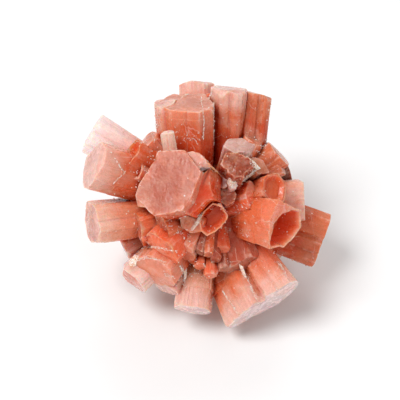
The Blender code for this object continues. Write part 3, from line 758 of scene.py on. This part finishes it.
def mesh_object(name, points, faces, drops, edges, hollows, kinds, axis, tints):
    """A mesh with all that the material asks of it, kept on corners and faces so that the union keeps it."""
    data = bpy.data.meshes.new(name)
    data.from_pydata(to_world(points).tolist(), [], faces)
    corners = np.zeros(len(data.loops), np.int32)
    data.loops.foreach_get("vertex_index", corners)
    count = len(data.polygons)
    for kept, values in (("drop", drops), ("edge", edges), ("groove", hollows)):
        fill_attribute(data, kept, "FLOAT", "CORNER", values[corners], "value")
    fill_attribute(data, "kind", "FLOAT", "FACE", kinds, "value")
    origin = to_world(np.zeros((1, 3)))[0]
    way = to_world(axis[None, :])[0] - origin
    way = way / np.linalg.norm(way)
    fill_attribute(data, "axis", "FLOAT_VECTOR", "FACE", np.tile(way, (count, 1)), "vector")
    for kept, code in zip(("tint_end", "tint_near", "tint_mid", "tint_root"), tints):
        shade = np.array(srgb(code) + (1.0,))
        fill_attribute(data, kept, "FLOAT_COLOR", "FACE", np.tile(shade, (count, 1)), "color")
    return bpy.data.objects.new(name, data)


def core_ball(name):
    """The middle that the crystals grew from, seen only in the gaps between them."""
    mesh = bmesh.new()
    bmesh.ops.create_icosphere(mesh, subdivisions=CORE_BALL_STEPS, radius=CORE_RADIUS)
    points = np.array([v.co[:] for v in mesh.verts])
    faces = [[v.index for v in f.verts] for f in mesh.faces]
    mesh.free()
    points = points * (1.0 + 0.05 * field(points, 0.5, 3.0) + 0.02 * field(points, 1.7, 5.0))[:, None]
    depth = np.full(len(points), CORE_DEPTH)
    return mesh_object(name, points, faces, depth, depth * 0.0, depth * 0.0, [0.0] * len(faces), UP,
                       TINTS["brown"])


def floor_cutter(name):
    mesh = bmesh.new()
    bmesh.ops.create_cube(mesh, size=1.0)
    for vert in mesh.verts:
        vert.co = Vector((vert.co.x * 2.0, vert.co.y * 2.0, vert.co.z - 0.5)) * FLOOR_CUT
    return linked(name, mesh_data(name, mesh))


def boolean(obj, name, operation):
    made = obj.modifiers.new(name, "BOOLEAN")
    made.operation = operation
    made.solver = "MANIFOLD"
    return made


def drop_folds(mesh):
    """Removes pairs of faces that lie on each other, back to back, and what they leave loose."""
    seen = {}
    for face in mesh.faces:
        seen.setdefault(frozenset(face.verts), []).append(face)
    folded = [face for faces in seen.values() if len(faces) > 1 for face in faces[len(faces) % 2:]]
    bmesh.ops.delete(mesh, geom=folded, context="FACES_ONLY")
    bmesh.ops.delete(mesh, geom=[e for e in mesh.edges if not e.link_faces], context="EDGES")
    bmesh.ops.delete(mesh, geom=[v for v in mesh.verts if not v.link_faces], context="VERTS")
    return len(folded)


def close_holes(mesh):
    """Removes the faces at crowded edges and closes the small holes."""
    crowded = {f for e in mesh.edges if len(e.link_faces) > 2 for f in e.link_faces}
    bmesh.ops.delete(mesh, geom=list(crowded), context="FACES")
    rims = [edge for edge in mesh.edges if edge.is_boundary]
    filled = bmesh.ops.holes_fill(mesh, edges=rims, sides=0)
    bmesh.ops.triangulate(mesh, faces=filled["faces"])


def clean_skin(data):
    """Welds the slivers of the union and drops what it left lying loose."""
    mesh = bmesh.new()
    mesh.from_mesh(data)
    bmesh.ops.remove_doubles(mesh, verts=mesh.verts[:], dist=WELD_REACH)
    bmesh.ops.dissolve_degenerate(mesh, dist=WELD_REACH, edges=mesh.edges[:])
    bmesh.ops.triangulate(mesh, faces=mesh.faces[:])
    while drop_folds(mesh):
        pass
    close_holes(mesh)
    mesh.verts.ensure_lookup_table()
    seen, groups = set(), []
    for vert in mesh.verts:
        if vert.index in seen:
            continue
        group, waiting = [], [vert]
        seen.add(vert.index)
        while waiting:
            here = waiting.pop()
            group.append(here)
            for edge in here.link_edges:
                other = edge.other_vert(here)
                if other.index not in seen:
                    seen.add(other.index)
                    waiting.append(other)
        groups.append(group)
    groups.sort(key=len)
    loose = [v for group in groups[:-1] for v in group]
    bmesh.ops.delete(mesh, geom=loose, context="VERTS")
    mesh.to_mesh(data)
    mesh.free()


def grown_cluster(name):
    """The crystals and their core as one closed mesh."""
    scene = bpy.context.scene.collection
    helpers = bpy.data.collections.new("crystals")
    scene.children.link(helpers)
    for number, row in enumerate(layout()):
        helpers.objects.link(mesh_object(f"crystal_{number:03d}", *crystal_arrays(row, number),
                                         axes_of(row)[2], TINTS[row["tint"]]))
    core = core_ball(name)
    cutter = floor_cutter("floor_cut")
    scene.objects.link(core)
    union = boolean(core, "grown_together", "UNION")
    union.operand_type = "COLLECTION"
    union.collection = helpers
    boolean(core, "worn_feet", "DIFFERENCE").object = cutter
    graph = bpy.context.evaluated_depsgraph_get()
    data = bpy.data.meshes.new_from_object(core.evaluated_get(graph), preserve_all_data_layers=True,
                                           depsgraph=graph)
    for obj in list(helpers.objects) + [core, cutter]:
        bpy.data.objects.remove(obj, do_unlink=True)
    bpy.data.collections.remove(helpers)
    clean_skin(data)
    data.name = name
    return linked(name, data)


# How open each point is to the room, from rays cast over its half of the sky.
SKY_RAYS = 12
SKY_REACH = 0.009
SKY_WIDTH = 0.96
RAY_OFFSET = 0.00005


def sky_directions():
    """Directions spread over a half sphere, thicker towards its top."""
    made = []
    for k in range(SKY_RAYS):
        reach = math.sqrt((k + 0.5) / SKY_RAYS) * SKY_WIDTH
        height = math.sqrt(1.0 - reach * reach)
        angle = GOLDEN_ANGLE * k
        made.append((reach * math.cos(angle), reach * math.sin(angle), height))
    return made


def surface_tree(data):
    return BVHTree.FromPolygons([v.co[:] for v in data.vertices], [p.vertices[:] for p in data.polygons])


def add_openness(data):
    """Keeps for each vertex how much of the sky it sees: 0 in a deep crevice and 1 out on a tip. The
    material paints shade where it is low.
    """
    tree = surface_tree(data)
    sky = [Vector(way) for way in sky_directions()]
    values = []
    for vert in data.vertices:
        turn = vert.normal.to_track_quat("Z", "Y")
        start = vert.co + vert.normal * RAY_OFFSET
        seen = 0.0
        for way in sky:
            distance = tree.ray_cast(start, turn @ way, SKY_REACH)[3]
            seen += 1.0 if distance is None else distance / SKY_REACH
        values.append(seen / len(sky))
    fill_attribute(data, "open", "FLOAT", "POINT", values, "value")


class Graph:
    """Short ways to wire up the nodes of one material."""

    def __init__(self, name):
        self.material = bpy.data.materials.new(name)
        self.material.use_nodes = True
        self.tree = self.material.node_tree
        self.shader = self.tree.nodes["Principled BSDF"]

    def node(self, kind, **settings):
        made = self.tree.nodes.new(kind)
        for key, value in settings.items():
            setattr(made, key, value)
        return made

    def feed(self, socket, value):
        if isinstance(value, bpy.types.NodeSocket):
            self.tree.links.new(value, socket)
        elif isinstance(value, tuple) and len(value) == 3 and socket.type == "RGBA":
            socket.default_value = value + (1.0,)
        else:
            socket.default_value = value

    def attribute(self, name, socket="Fac"):
        return self.node("ShaderNodeAttribute", attribute_name=name).outputs[socket]

    def maths(self, operation, first, second):
        made = self.node("ShaderNodeMath", operation=operation)
        self.feed(made.inputs[0], first)
        self.feed(made.inputs[1], second)
        return made.outputs[0]

    def times(self, first, second):
        return self.maths("MULTIPLY", first, second)

    def plus(self, first, second):
        return self.maths("ADD", first, second)

    def vector(self, operation, first, second):
        made = self.node("ShaderNodeVectorMath", operation=operation)
        self.feed(made.inputs[0], first)
        self.feed(made.inputs[1], second)
        return made.outputs["Value" if operation == "DOT_PRODUCT" else "Vector"]

    def scaled(self, vector, amount):
        made = self.node("ShaderNodeVectorMath", operation="SCALE")
        self.feed(made.inputs[0], vector)
        self.feed(made.inputs["Scale"], amount)
        return made.outputs["Vector"]

    def grey(self, value):
        made = self.node("ShaderNodeCombineColor")
        for socket in made.inputs:
            self.feed(socket, value)
        return made.outputs[0]

    def texture(self, kind, place, scale, **settings):
        made = self.node(kind, **settings)
        self.feed(made.inputs["Vector"], place)
        made.inputs["Scale"].default_value = scale
        return made

    def noise(self, place, scale, detail=2.0, roughness=0.5):
        made = self.texture("ShaderNodeTexNoise", place, scale)
        made.inputs["Detail"].default_value = detail
        made.inputs["Roughness"].default_value = roughness
        return made.outputs["Fac"]

    def wander(self, place, scale):
        """Three noises at once, centred on nought."""
        made = self.texture("ShaderNodeTexNoise", place, scale)
        return self.vector("SUBTRACT", made.outputs["Color"], (0.5, 0.5, 0.5))

    def spots(self, place, scale):
        return self.texture("ShaderNodeTexVoronoi", place, scale).outputs["Distance"]

    def cracks(self, place, scale):
        made = self.texture("ShaderNodeTexVoronoi", place, scale, feature="DISTANCE_TO_EDGE")
        return made.outputs["Distance"]

    def span(self, value, low, high, to_low=0.0, to_high=1.0):
        """The value mapped smoothly from one span to another and kept inside it."""
        made = self.node("ShaderNodeMapRange", interpolation_type="SMOOTHSTEP")
        for socket, number in zip(made.inputs, (value, low, high, to_low, to_high)):
            self.feed(socket, number)
        return made.outputs[0]

    def mix(self, first, second, share, blend="MIX"):
        made = self.node("ShaderNodeMix", data_type="RGBA", blend_type=blend)
        self.feed(made.inputs["Factor"], share)
        for socket, value in zip([s for s in made.inputs if s.type == "RGBA"], (first, second)):
            self.feed(socket, value)
        return [s for s in made.outputs if s.type == "RGBA"][0]

    def lay(self, under, code, share):
        """A screen colour laid over another."""
        return self.mix(under, srgb(code), share)

    def settle(self, values):
        """Plain values for the shader's own sockets."""
        for name, value in values.items():
            self.shader.inputs[name].default_value = value


# White lamps and highlights wash the tints out: they are raised to a gamma, and toned by their lightness.
DEEPENING = 1.14
WARMING = (1.0, 1.0, 0.86)
COOLING = (1.0, 1.0, 1.03)
LIGHTNESS = (0.21, 0.72, 0.07)
PALE_SPAN = (0.25, 0.6)
# Depth of the bump on sides and on ends, in metres.
BUMP_DEPTHS = (0.00022, 0.000035)
BUMP_STRENGTH = 0.75


def aragonite_material():
    """Translucent orange to pale pink mineral: streaked along each crystal and paler at its end, with a
    painted highlight on its edges and painted shade in its crevices.
    """
    g = Graph("aragonite")
    place = g.scaled(g.node("ShaderNodeTexCoord").outputs["Object"], 1.0 / MM)
    axis = g.attribute("axis", "Vector")
    drop, kind, edge, opened = (g.attribute(name) for name in ("drop", "kind", "edge", "open"))
    lengthwise = g.vector("DOT_PRODUCT", place, axis)
    across = g.vector("SUBTRACT", place, g.scaled(axis, lengthwise))
    streaked = g.vector("ADD", across, g.scaled(axis, g.times(lengthwise, 0.12)))

    streaks = g.noise(streaked, 1.5, 4.0, 0.6)
    fine_streaks = g.noise(streaked, 5.0, 3.0, 0.6)
    blotches = g.noise(place, 0.32, 3.0, 0.55)
    mottling = g.noise(place, 0.9, 5.0, 0.62)
    grain = g.noise(place, 7.0, 3.0, 0.6)

    # The tints, by how far below the end a point lies, and painted shade by how little of the sky it sees.
    jitter = g.times(g.maths("SUBTRACT", streaks, 0.5), 2.0)
    jitter = g.plus(jitter, g.times(g.maths("SUBTRACT", blotches, 0.5), 9.0))
    below = g.plus(drop, jitter)
    near, middle, deep = (g.attribute(name, "Color") for name in ("tint_near", "tint_mid", "tint_root"))
    side = g.mix(near, middle, g.span(below, 0.3, 7.5))
    side = g.mix(side, deep, g.span(below, 7.0, 13.5))
    # Painted shade: sides that see little of the sky darken to the root tint and then to a dark red, in
    # crevices and between crystals.
    side = g.mix(side, deep, g.span(opened, 0.66, 0.22, 0.0, 0.9))
    side = g.lay(side, "#8E220A", g.span(opened, 0.34, 0.1, 0.0, 0.75))
    end = g.mix(g.attribute("tint_end", "Color"), near, g.span(blotches, 0.52, 0.36, 0.0, 0.5))
    end = g.lay(end, "#BE7468", g.span(blotches, 0.5, 0.68, 0.0, 0.3))
    cup = g.mix(near, middle, g.span(drop, 0.0, 1.2))
    cup = g.mix(cup, deep, g.span(drop, 1.5, 5.0, 0.0, 0.15))
    colour = g.mix(side, end, g.span(kind, 0.4, 0.6))
    colour = g.mix(colour, cup, g.span(kind, 1.4, 1.6))

    # Over them: mottling, healed cracks, pale clouds that are partly painted light, frosted grooves, a
    # painted highlight on the edges, painted shade in dark spots, and streaks.
    on_sides = g.span(kind, 0.2, 0.8, 1.0, 0.35)
    colour = g.lay(colour, "#EFC9BA", g.times(g.span(mottling, 0.56, 0.72, 0.0, 0.25), on_sides))
    warped = g.vector("ADD", place, g.scaled(g.wander(place, 0.35), 0.7))
    veil = g.times(g.span(g.cracks(warped, 0.2), 0.016, 0.003), g.span(blotches, 0.47, 0.6))
    veil = g.times(veil, g.span(kind, 0.2, 0.8, 0.75, 0.25))
    colour = g.lay(colour, "#F8E6DC", g.times(veil, 0.5))
    # Pale clouds in the stone, kept to the open places: partly painted light, which leaves the crevices
    # darker.
    lit_clouds = g.times(g.span(g.noise(warped, 0.22, 3.0, 0.5), 0.5, 0.68), g.span(opened, 0.5, 0.8))
    colour = g.lay(colour, "#F0CDC0", g.times(lit_clouds, 0.24))
    frosted = g.times(g.span(g.attribute("groove"), 0.08, 0.3), g.span(mottling, 0.42, 0.56))
    colour = g.lay(colour, "#F1D8CA", g.times(frosted, 0.35))
    # Painted highlight: pale edges near the end, where they would catch the light.
    wear_and_edge_highlight = g.times(edge, g.span(g.plus(drop, jitter), 3.0, -1.0))
    wear_and_edge_highlight = g.times(wear_and_edge_highlight, g.span(mottling, 0.42, 0.56, 0.15, 0.6))
    colour = g.lay(colour, "#F6DDD2", wear_and_edge_highlight)
    # Painted shade: dark red-brown spots, only in the places that see little of the sky.
    painted_shade_spots = g.times(g.span(g.spots(place, 0.75), 0.2, 0.08), g.span(opened, 0.85, 0.35))
    colour = g.lay(colour, "#7A2413", g.times(painted_shade_spots, 0.5))
    colour = g.mix(colour, g.grey(g.span(fine_streaks, 0.3, 0.7, 0.95, 1.03)), 1.0, "MULTIPLY")
    colour = g.mix(colour, g.grey(g.span(grain, 0.3, 0.7, 0.88, 1.1)), on_sides, "MULTIPLY")

    toning = g.mix(WARMING, COOLING, g.span(g.vector("DOT_PRODUCT", colour, LIGHTNESS), *PALE_SPAN))
    deepened = g.node("ShaderNodeGamma")
    g.feed(deepened.inputs["Color"], g.mix(colour, toning, 1.0, "MULTIPLY"))
    deepened.inputs["Gamma"].default_value = DEEPENING
    g.feed(g.shader.inputs["Base Color"], deepened.outputs[0])
    g.feed(g.shader.inputs["Roughness"], g.span(mottling, 0.35, 0.65, 0.14, 0.34))
    g.settle({"IOR": 1.53, "Specular IOR Level": 0.32, "Subsurface Weight": 0.75,
              "Subsurface Radius": (1.0, 0.36, 0.2), "Subsurface Scale": 0.003})

    height = g.times(fine_streaks, 0.25)
    for layer, weight in ((grain, 0.3), (mottling, 0.9), (g.spots(streaked, 1.7), 0.8)):
        height = g.plus(height, g.times(layer, weight))
    bump = g.node("ShaderNodeBump")
    bump.inputs["Strength"].default_value = BUMP_STRENGTH
    g.feed(bump.inputs["Distance"], g.span(kind, 0.2, 0.8, *BUMP_DEPTHS))
    g.feed(bump.inputs["Height"], height)
    g.feed(g.shader.inputs["Normal"], bump.outputs["Normal"])
    return g.material


# Grains of frost: small crystals strewn over the sides, in patches, and pale shards along given lines, which
# are mostly painted highlights.
GRAIN_COUNT = 3600
GRAIN_SIZE = (0.05, 0.19)
GRAIN_SEED = 21
GRAIN_FLOOR = 0.5
PATCH_SCALE = 0.22
GRAIN_SHAPE = ((0.5, 1.0), (0.6, 1.1), (0.9, 2.0))
GRAIN_DENT = 0.22
SHARD_SPACING = 0.12
SHARD_SIZE = (0.06, 0.13)
SHARD_SHAPE = ((0.4, 0.9), (0.4, 0.9), (2.0, 5.0))
SHARD_SWING = 0.4
LOOSE_WIDTH = 0.9
SIGHT_START = 40.0
# Each line as points across the front view in the growth frame, and its width, in millimetres. Lines
# narrower than LOOSE_WIDTH mostly paint highlights on ridges and rims; wider ones are patches of grains.
HIGHLIGHT_AND_GRAIN_LINES = (
    (((5.3, -12.1), (6.9, -14.3)), 0.7),
    (((6.9, -14.3), (7.6, -16.2), (8.8, -18.9)), 0.3),
    (((2.0, -16.7), (5.1, -21.2)), 0.3),
    (((12.7, -10.9), (14.4, -14.0)), 0.35),
    (((6.4, 9.4), (8.6, 7.0), (5.7, 4.6)), 0.28),
    (((7.2, 8.1), (7.9, 7.2), (7.2, 6.4)), 0.6),
    (((-2.6, -1.8), (-3.4, -3.6), (-4.3, -5.0)), 0.35),
    (((3.0, 4.7), (3.9, 3.2)), 0.9),
    (((-15.1, -10.9), (-12.6, -10.0), (-11.1, -10.2), (-9.1, -10.9)), 0.3),
    (((-5.9, -11.3), (-5.2, -16.3)), 0.5),
    (((-9.3, -13.2), (-7.2, -14.0)), 0.5),
    (((-6.4, 20.6), (-4.7, 21.8)), 0.3),
    (((-2.2, 21.0), (-1.6, 16.0), (-1.8, 12.6)), 0.16),
    (((0.2, 19.6), (0.3, 12.0)), 0.14),
    (((0.4, 23.5), (-0.8, 20.4)), 0.25),
    (((-18.6, 9.0), (-16.8, 6.2), (-18.8, 4.2)), 0.16),
    (((-10.6, 19.0), (-10.9, 15.5), (-11.3, 12.8)), 1.0),
    (((-7.0, 13.4), (-2.2, 12.6)), 1.8),
    (((-9.0, -3.4), (-5.0, -5.6)), 1.8),
    (((-13.6, -8.4), (-11.0, -8.0), (-7.0, -8.8)), 0.4),
    (((5.2, -4.6), (7.4, -5.4)), 1.6),
    (((4.4, -1.0), (7.0, 0.6)), 1.4),
)


# Thin pale flakes that paint highlights on glassy facets, as corners across the front view in the growth
# frame, in millimetres.
FLAKE_LIFT = 0.16
FLAKE_BEND = 0.8
HIGHLIGHT_FLAKES = (
    ((6.8, 9.1), (8.0, 8.4), (9.3, 7.0), (8.5, 6.7), (7.6, 7.6)),
    ((9.1, 7.0), (8.2, 6.1), (5.7, 4.4), (6.5, 5.5), (8.0, 6.7)),
    ((3.1, 6.1), (4.0, 5.3), (4.8, 3.6), (3.6, 3.1), (2.9, 4.6)),
    ((-1.9, -1.3), (-2.2, -3.0), (-3.9, -4.9), (-3.3, -3.2), (-2.6, -2.0)),
    ((5.1, -11.3), (5.9, -11.8), (6.7, -14.1), (5.9, -13.5), (5.3, -12.2)),
    ((-16.2, -10.7), (-15.1, -9.6), (-13.9, -10.0), (-14.9, -11.8), (-16.0, -12.2)),
    ((-9.0, -13.2), (-6.2, -11.6), (-5.7, -12.6), (-7.7, -14.1)),
    ((-5.4, -12.2), (-4.9, -10.7), (-5.0, -14.1), (-5.6, -15.0)),
    ((12.3, -10.7), (13.3, -11.8), (14.2, -13.7), (13.3, -13.1)),
    ((-13.7, -11.8), (-12.2, -13.7), (-11.5, -15.6), (-12.4, -16.2), (-13.7, -14.1)),
)


def add_flake(mesh, tree, corners, inwards):
    """A thin closed plate laid over the surface that the corners are seen on."""
    starts = [world_spot(x, y, SIGHT_START) for x, y in corners]
    depths = [tree.ray_cast(start, inwards)[3] for start in starts]
    if None in depths:
        return
    middle = sorted(depths)[len(depths) // 2]
    upper, lower = [], []
    for start, depth in zip(starts, depths):
        kept = min(max(depth, middle - FLAKE_BEND * MM), middle + FLAKE_BEND * MM)
        upper.append(mesh.verts.new(start + inwards * (kept - FLAKE_LIFT * MM)))
        lower.append(mesh.verts.new(start + inwards * (kept + FLAKE_LIFT * MM)))
    count = len(corners)
    for k in range(count):
        after = (k + 1) % count
        mesh.faces.new((upper[k], upper[after], lower[after], lower[k]))
    for k in range(1, count - 1):
        mesh.faces.new((upper[0], upper[k + 1], upper[k]))
        mesh.faces.new((lower[0], lower[k], lower[k + 1]))


def add_grain(mesh, place, size, matrix, rng):
    """One sharp grain: a coarse ball pulled out of shape."""
    there = Matrix.Translation(place) @ matrix
    for vert in bmesh.ops.create_icosphere(mesh, subdivisions=1, radius=size, matrix=there)["verts"]:
        vert.co += Vector([rng.uniform(-GRAIN_DENT, GRAIN_DENT) * size for _ in range(3)])


def turned(rng, low, high):
    return Euler([rng.uniform(low, high) for _ in range(3)]).to_matrix().to_4x4()


def stretched(rng, shape):
    return Matrix.Diagonal([rng.uniform(*span) for span in shape] + [1.0])


def strew_grains(mesh, data, rng):
    """Grains over the sides of the crystals, in patches that keep to half-hidden places."""
    count = len(data.polygons)
    kind, opened = (np.array([v.value for v in data.attributes[name].data], np.float32)
                    for name in ("kind", "open"))
    weights = []
    for face in data.polygons:
        shade = float(np.mean(opened[list(face.vertices)]))
        patch = noise.noise(Vector(face.center) / MM * PATCH_SCALE + Vector((3.0, 9.0, 1.0)))
        chance = 0.02 + max(0.0, patch - 0.05) * max(0.1, 1.0 - abs(shade - 0.6) / 0.3)
        weights.append(face.area * chance * (0.2 if kind[face.index] == 1 else 1.0))
    for face_index in rng.choices(range(count), weights, k=GRAIN_COUNT):
        face = data.polygons[face_index]
        corners = [data.vertices[v].co for v in face.vertices[:3]]
        first, second = rng.random(), rng.random()
        if first + second > 1.0:
            first, second = 1.0 - first, 1.0 - second
        place = corners[0] + (corners[1] - corners[0]) * first + (corners[2] - corners[0]) * second
        size = (GRAIN_SIZE[0] + (GRAIN_SIZE[1] - GRAIN_SIZE[0]) * rng.random() ** 2) * MM
        if place.z < GRAIN_FLOOR * MM:
            continue
        turn = turned(rng, 0.0, FULL_TURN)
        add_grain(mesh, place + face.normal * size * 0.1, size, turn @ stretched(rng, GRAIN_SHAPE), rng)


def strew_shards_and_highlights(mesh, data, rng):
    """Flakes and shards laid on the surface along the lines of the front view: pale marks, mostly painted
    highlights.
    """
    tree = surface_tree(data)
    ends = to_world(np.array(((0.0, 0.0, 0.0), (0.0, 0.0, -1.0))))
    inwards = Vector(ends[1] - ends[0]).normalized()
    for corners in HIGHLIGHT_FLAKES:
        add_flake(mesh, tree, corners, inwards)
    for line, width in HIGHLIGHT_AND_GRAIN_LINES:
        for start, end in zip(line, line[1:]):
            run = math.dist(start, end)
            low, high = to_world(np.array((start + (0.0,), end + (0.0,))))
            turn = Vector(high - low).to_track_quat("Z", "Y").to_matrix().to_4x4()
            swing = SHARD_SWING if width < LOOSE_WIDTH else math.pi
            for _ in range(max(2, int(run / SHARD_SPACING))):
                t = rng.random()
                x = start[0] + (end[0] - start[0]) * t + rng.uniform(-0.5, 0.5) * width
                y = start[1] + (end[1] - start[1]) * t + rng.uniform(-0.5, 0.5) * width
                place = tree.ray_cast(world_spot(x, y, SIGHT_START), inwards)[0]
                if place is None:
                    continue
                size = rng.uniform(*SHARD_SIZE) * MM
                sway = turned(rng, -swing, swing)
                add_grain(mesh, place, size, turn @ sway @ stretched(rng, SHARD_SHAPE), rng)


def frost_and_highlight_grains(skin):
    mesh = bmesh.new()
    rng = random.Random(GRAIN_SEED)
    strew_grains(mesh, skin.data, rng)
    strew_shards_and_highlights(mesh, skin.data, rng)
    grains = linked("frost_and_highlight_grains", mesh_data("frost_and_highlight_grains", mesh))
    grains.data.materials.append(grain_material())
    return grains


def grain_material():
    """Cream to white grains with a glassy sparkle."""
    g = Graph("frost")
    place = g.scaled(g.node("ShaderNodeTexCoord").outputs["Object"], 1.0 / MM)
    colour = g.mix(srgb("#DD9C78"), srgb("#F3D9C2"), g.span(g.noise(place, 1.3, 2.0), 0.4, 0.6))
    colour = g.lay(colour, "#FFF6EE", g.span(g.noise(place, 4.0, 1.0), 0.44, 0.6))
    g.feed(g.shader.inputs["Base Color"], colour)
    g.feed(g.shader.inputs["Roughness"], g.span(g.noise(place, 3.0, 2.0), 0.35, 0.65, 0.12, 0.35))
    g.settle({"IOR": 1.55, "Subsurface Weight": 0.3, "Subsurface Radius": (1.0, 0.6, 0.4),
              "Subsurface Scale": 0.0006})
    return g.material


def floor_plane():
    mesh = bmesh.new()
    bmesh.ops.create_grid(mesh, x_segments=1, y_segments=1, size=1.5)
    made = linked("studio_floor", mesh_data("studio_floor", mesh))
    material = bpy.data.materials.new("studio_floor")
    material.use_nodes = True
    shader = material.node_tree.nodes["Principled BSDF"]
    shader.inputs["Base Color"].default_value = (0.93, 0.93, 0.93, 1.0)
    shader.inputs["Roughness"].default_value = 0.9
    made.data.materials.append(material)
    return made


# Camera and lamps, in metres and watts. The camera looks down the growth frame's own z.
LENS = 120.0
CAMERA_DISTANCE = 0.26668
AIM = (-2.4, 1.0, 0.0)
LAMPS = (
    ("key_light", (-0.26, -0.14, 0.52), 0.28, 2.25),
    ("fill_light", (0.36, -0.34, 0.30), 0.40, 0.5),
    ("back_light", (0.05, 0.42, 0.40), 0.40, 0.8),
)
WORLD_STRENGTH = 0.42


def add_lamps():
    for name, place, size, power in LAMPS:
        lamp = bpy.data.lights.new(name, "AREA")
        lamp.shape = "DISK"
        lamp.size = size
        lamp.energy = power
        made = linked(name, lamp)
        made.location = place
        aim = Vector((0.0, 0.0, 0.018)) - made.location
        made.rotation_euler = aim.to_track_quat("-Z", "Y").to_euler()
    world = bpy.data.worlds.new("studio")
    world.use_nodes = True
    background = world.node_tree.nodes["Background"]
    background.inputs["Color"].default_value = (1.0, 1.0, 1.0, 1.0)
    background.inputs["Strength"].default_value = WORLD_STRENGTH
    bpy.context.scene.world = world
    bpy.context.scene.view_settings.view_transform = "Standard"


def add_camera():
    lens = bpy.data.cameras.new("camera")
    lens.lens = LENS
    lens.sensor_width = 36.0
    made = linked("camera", lens)
    aim = world_spot(*AIM)
    made.location = aim + Vector((0.0, -math.cos(LEAN), math.sin(LEAN))) * CAMERA_DISTANCE
    made.rotation_euler = (math.pi / 2.0 - LEAN, 0.0, 0.0)
    bpy.context.scene.camera = made


def flat_shaded(data):
    for face in data.polygons:
        face.use_smooth = False


def main():
    skin = grown_cluster("cluster_skin")
    add_openness(skin.data)
    flat_shaded(skin.data)
    skin.data.materials.clear()
    skin.data.materials.append(aragonite_material())
    grains = frost_and_highlight_grains(skin)
    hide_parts(NODE_NAME)
    for piece in (skin, grains):
        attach(piece, "root")
    floor_plane()
    add_lamps()
    add_camera()


main()
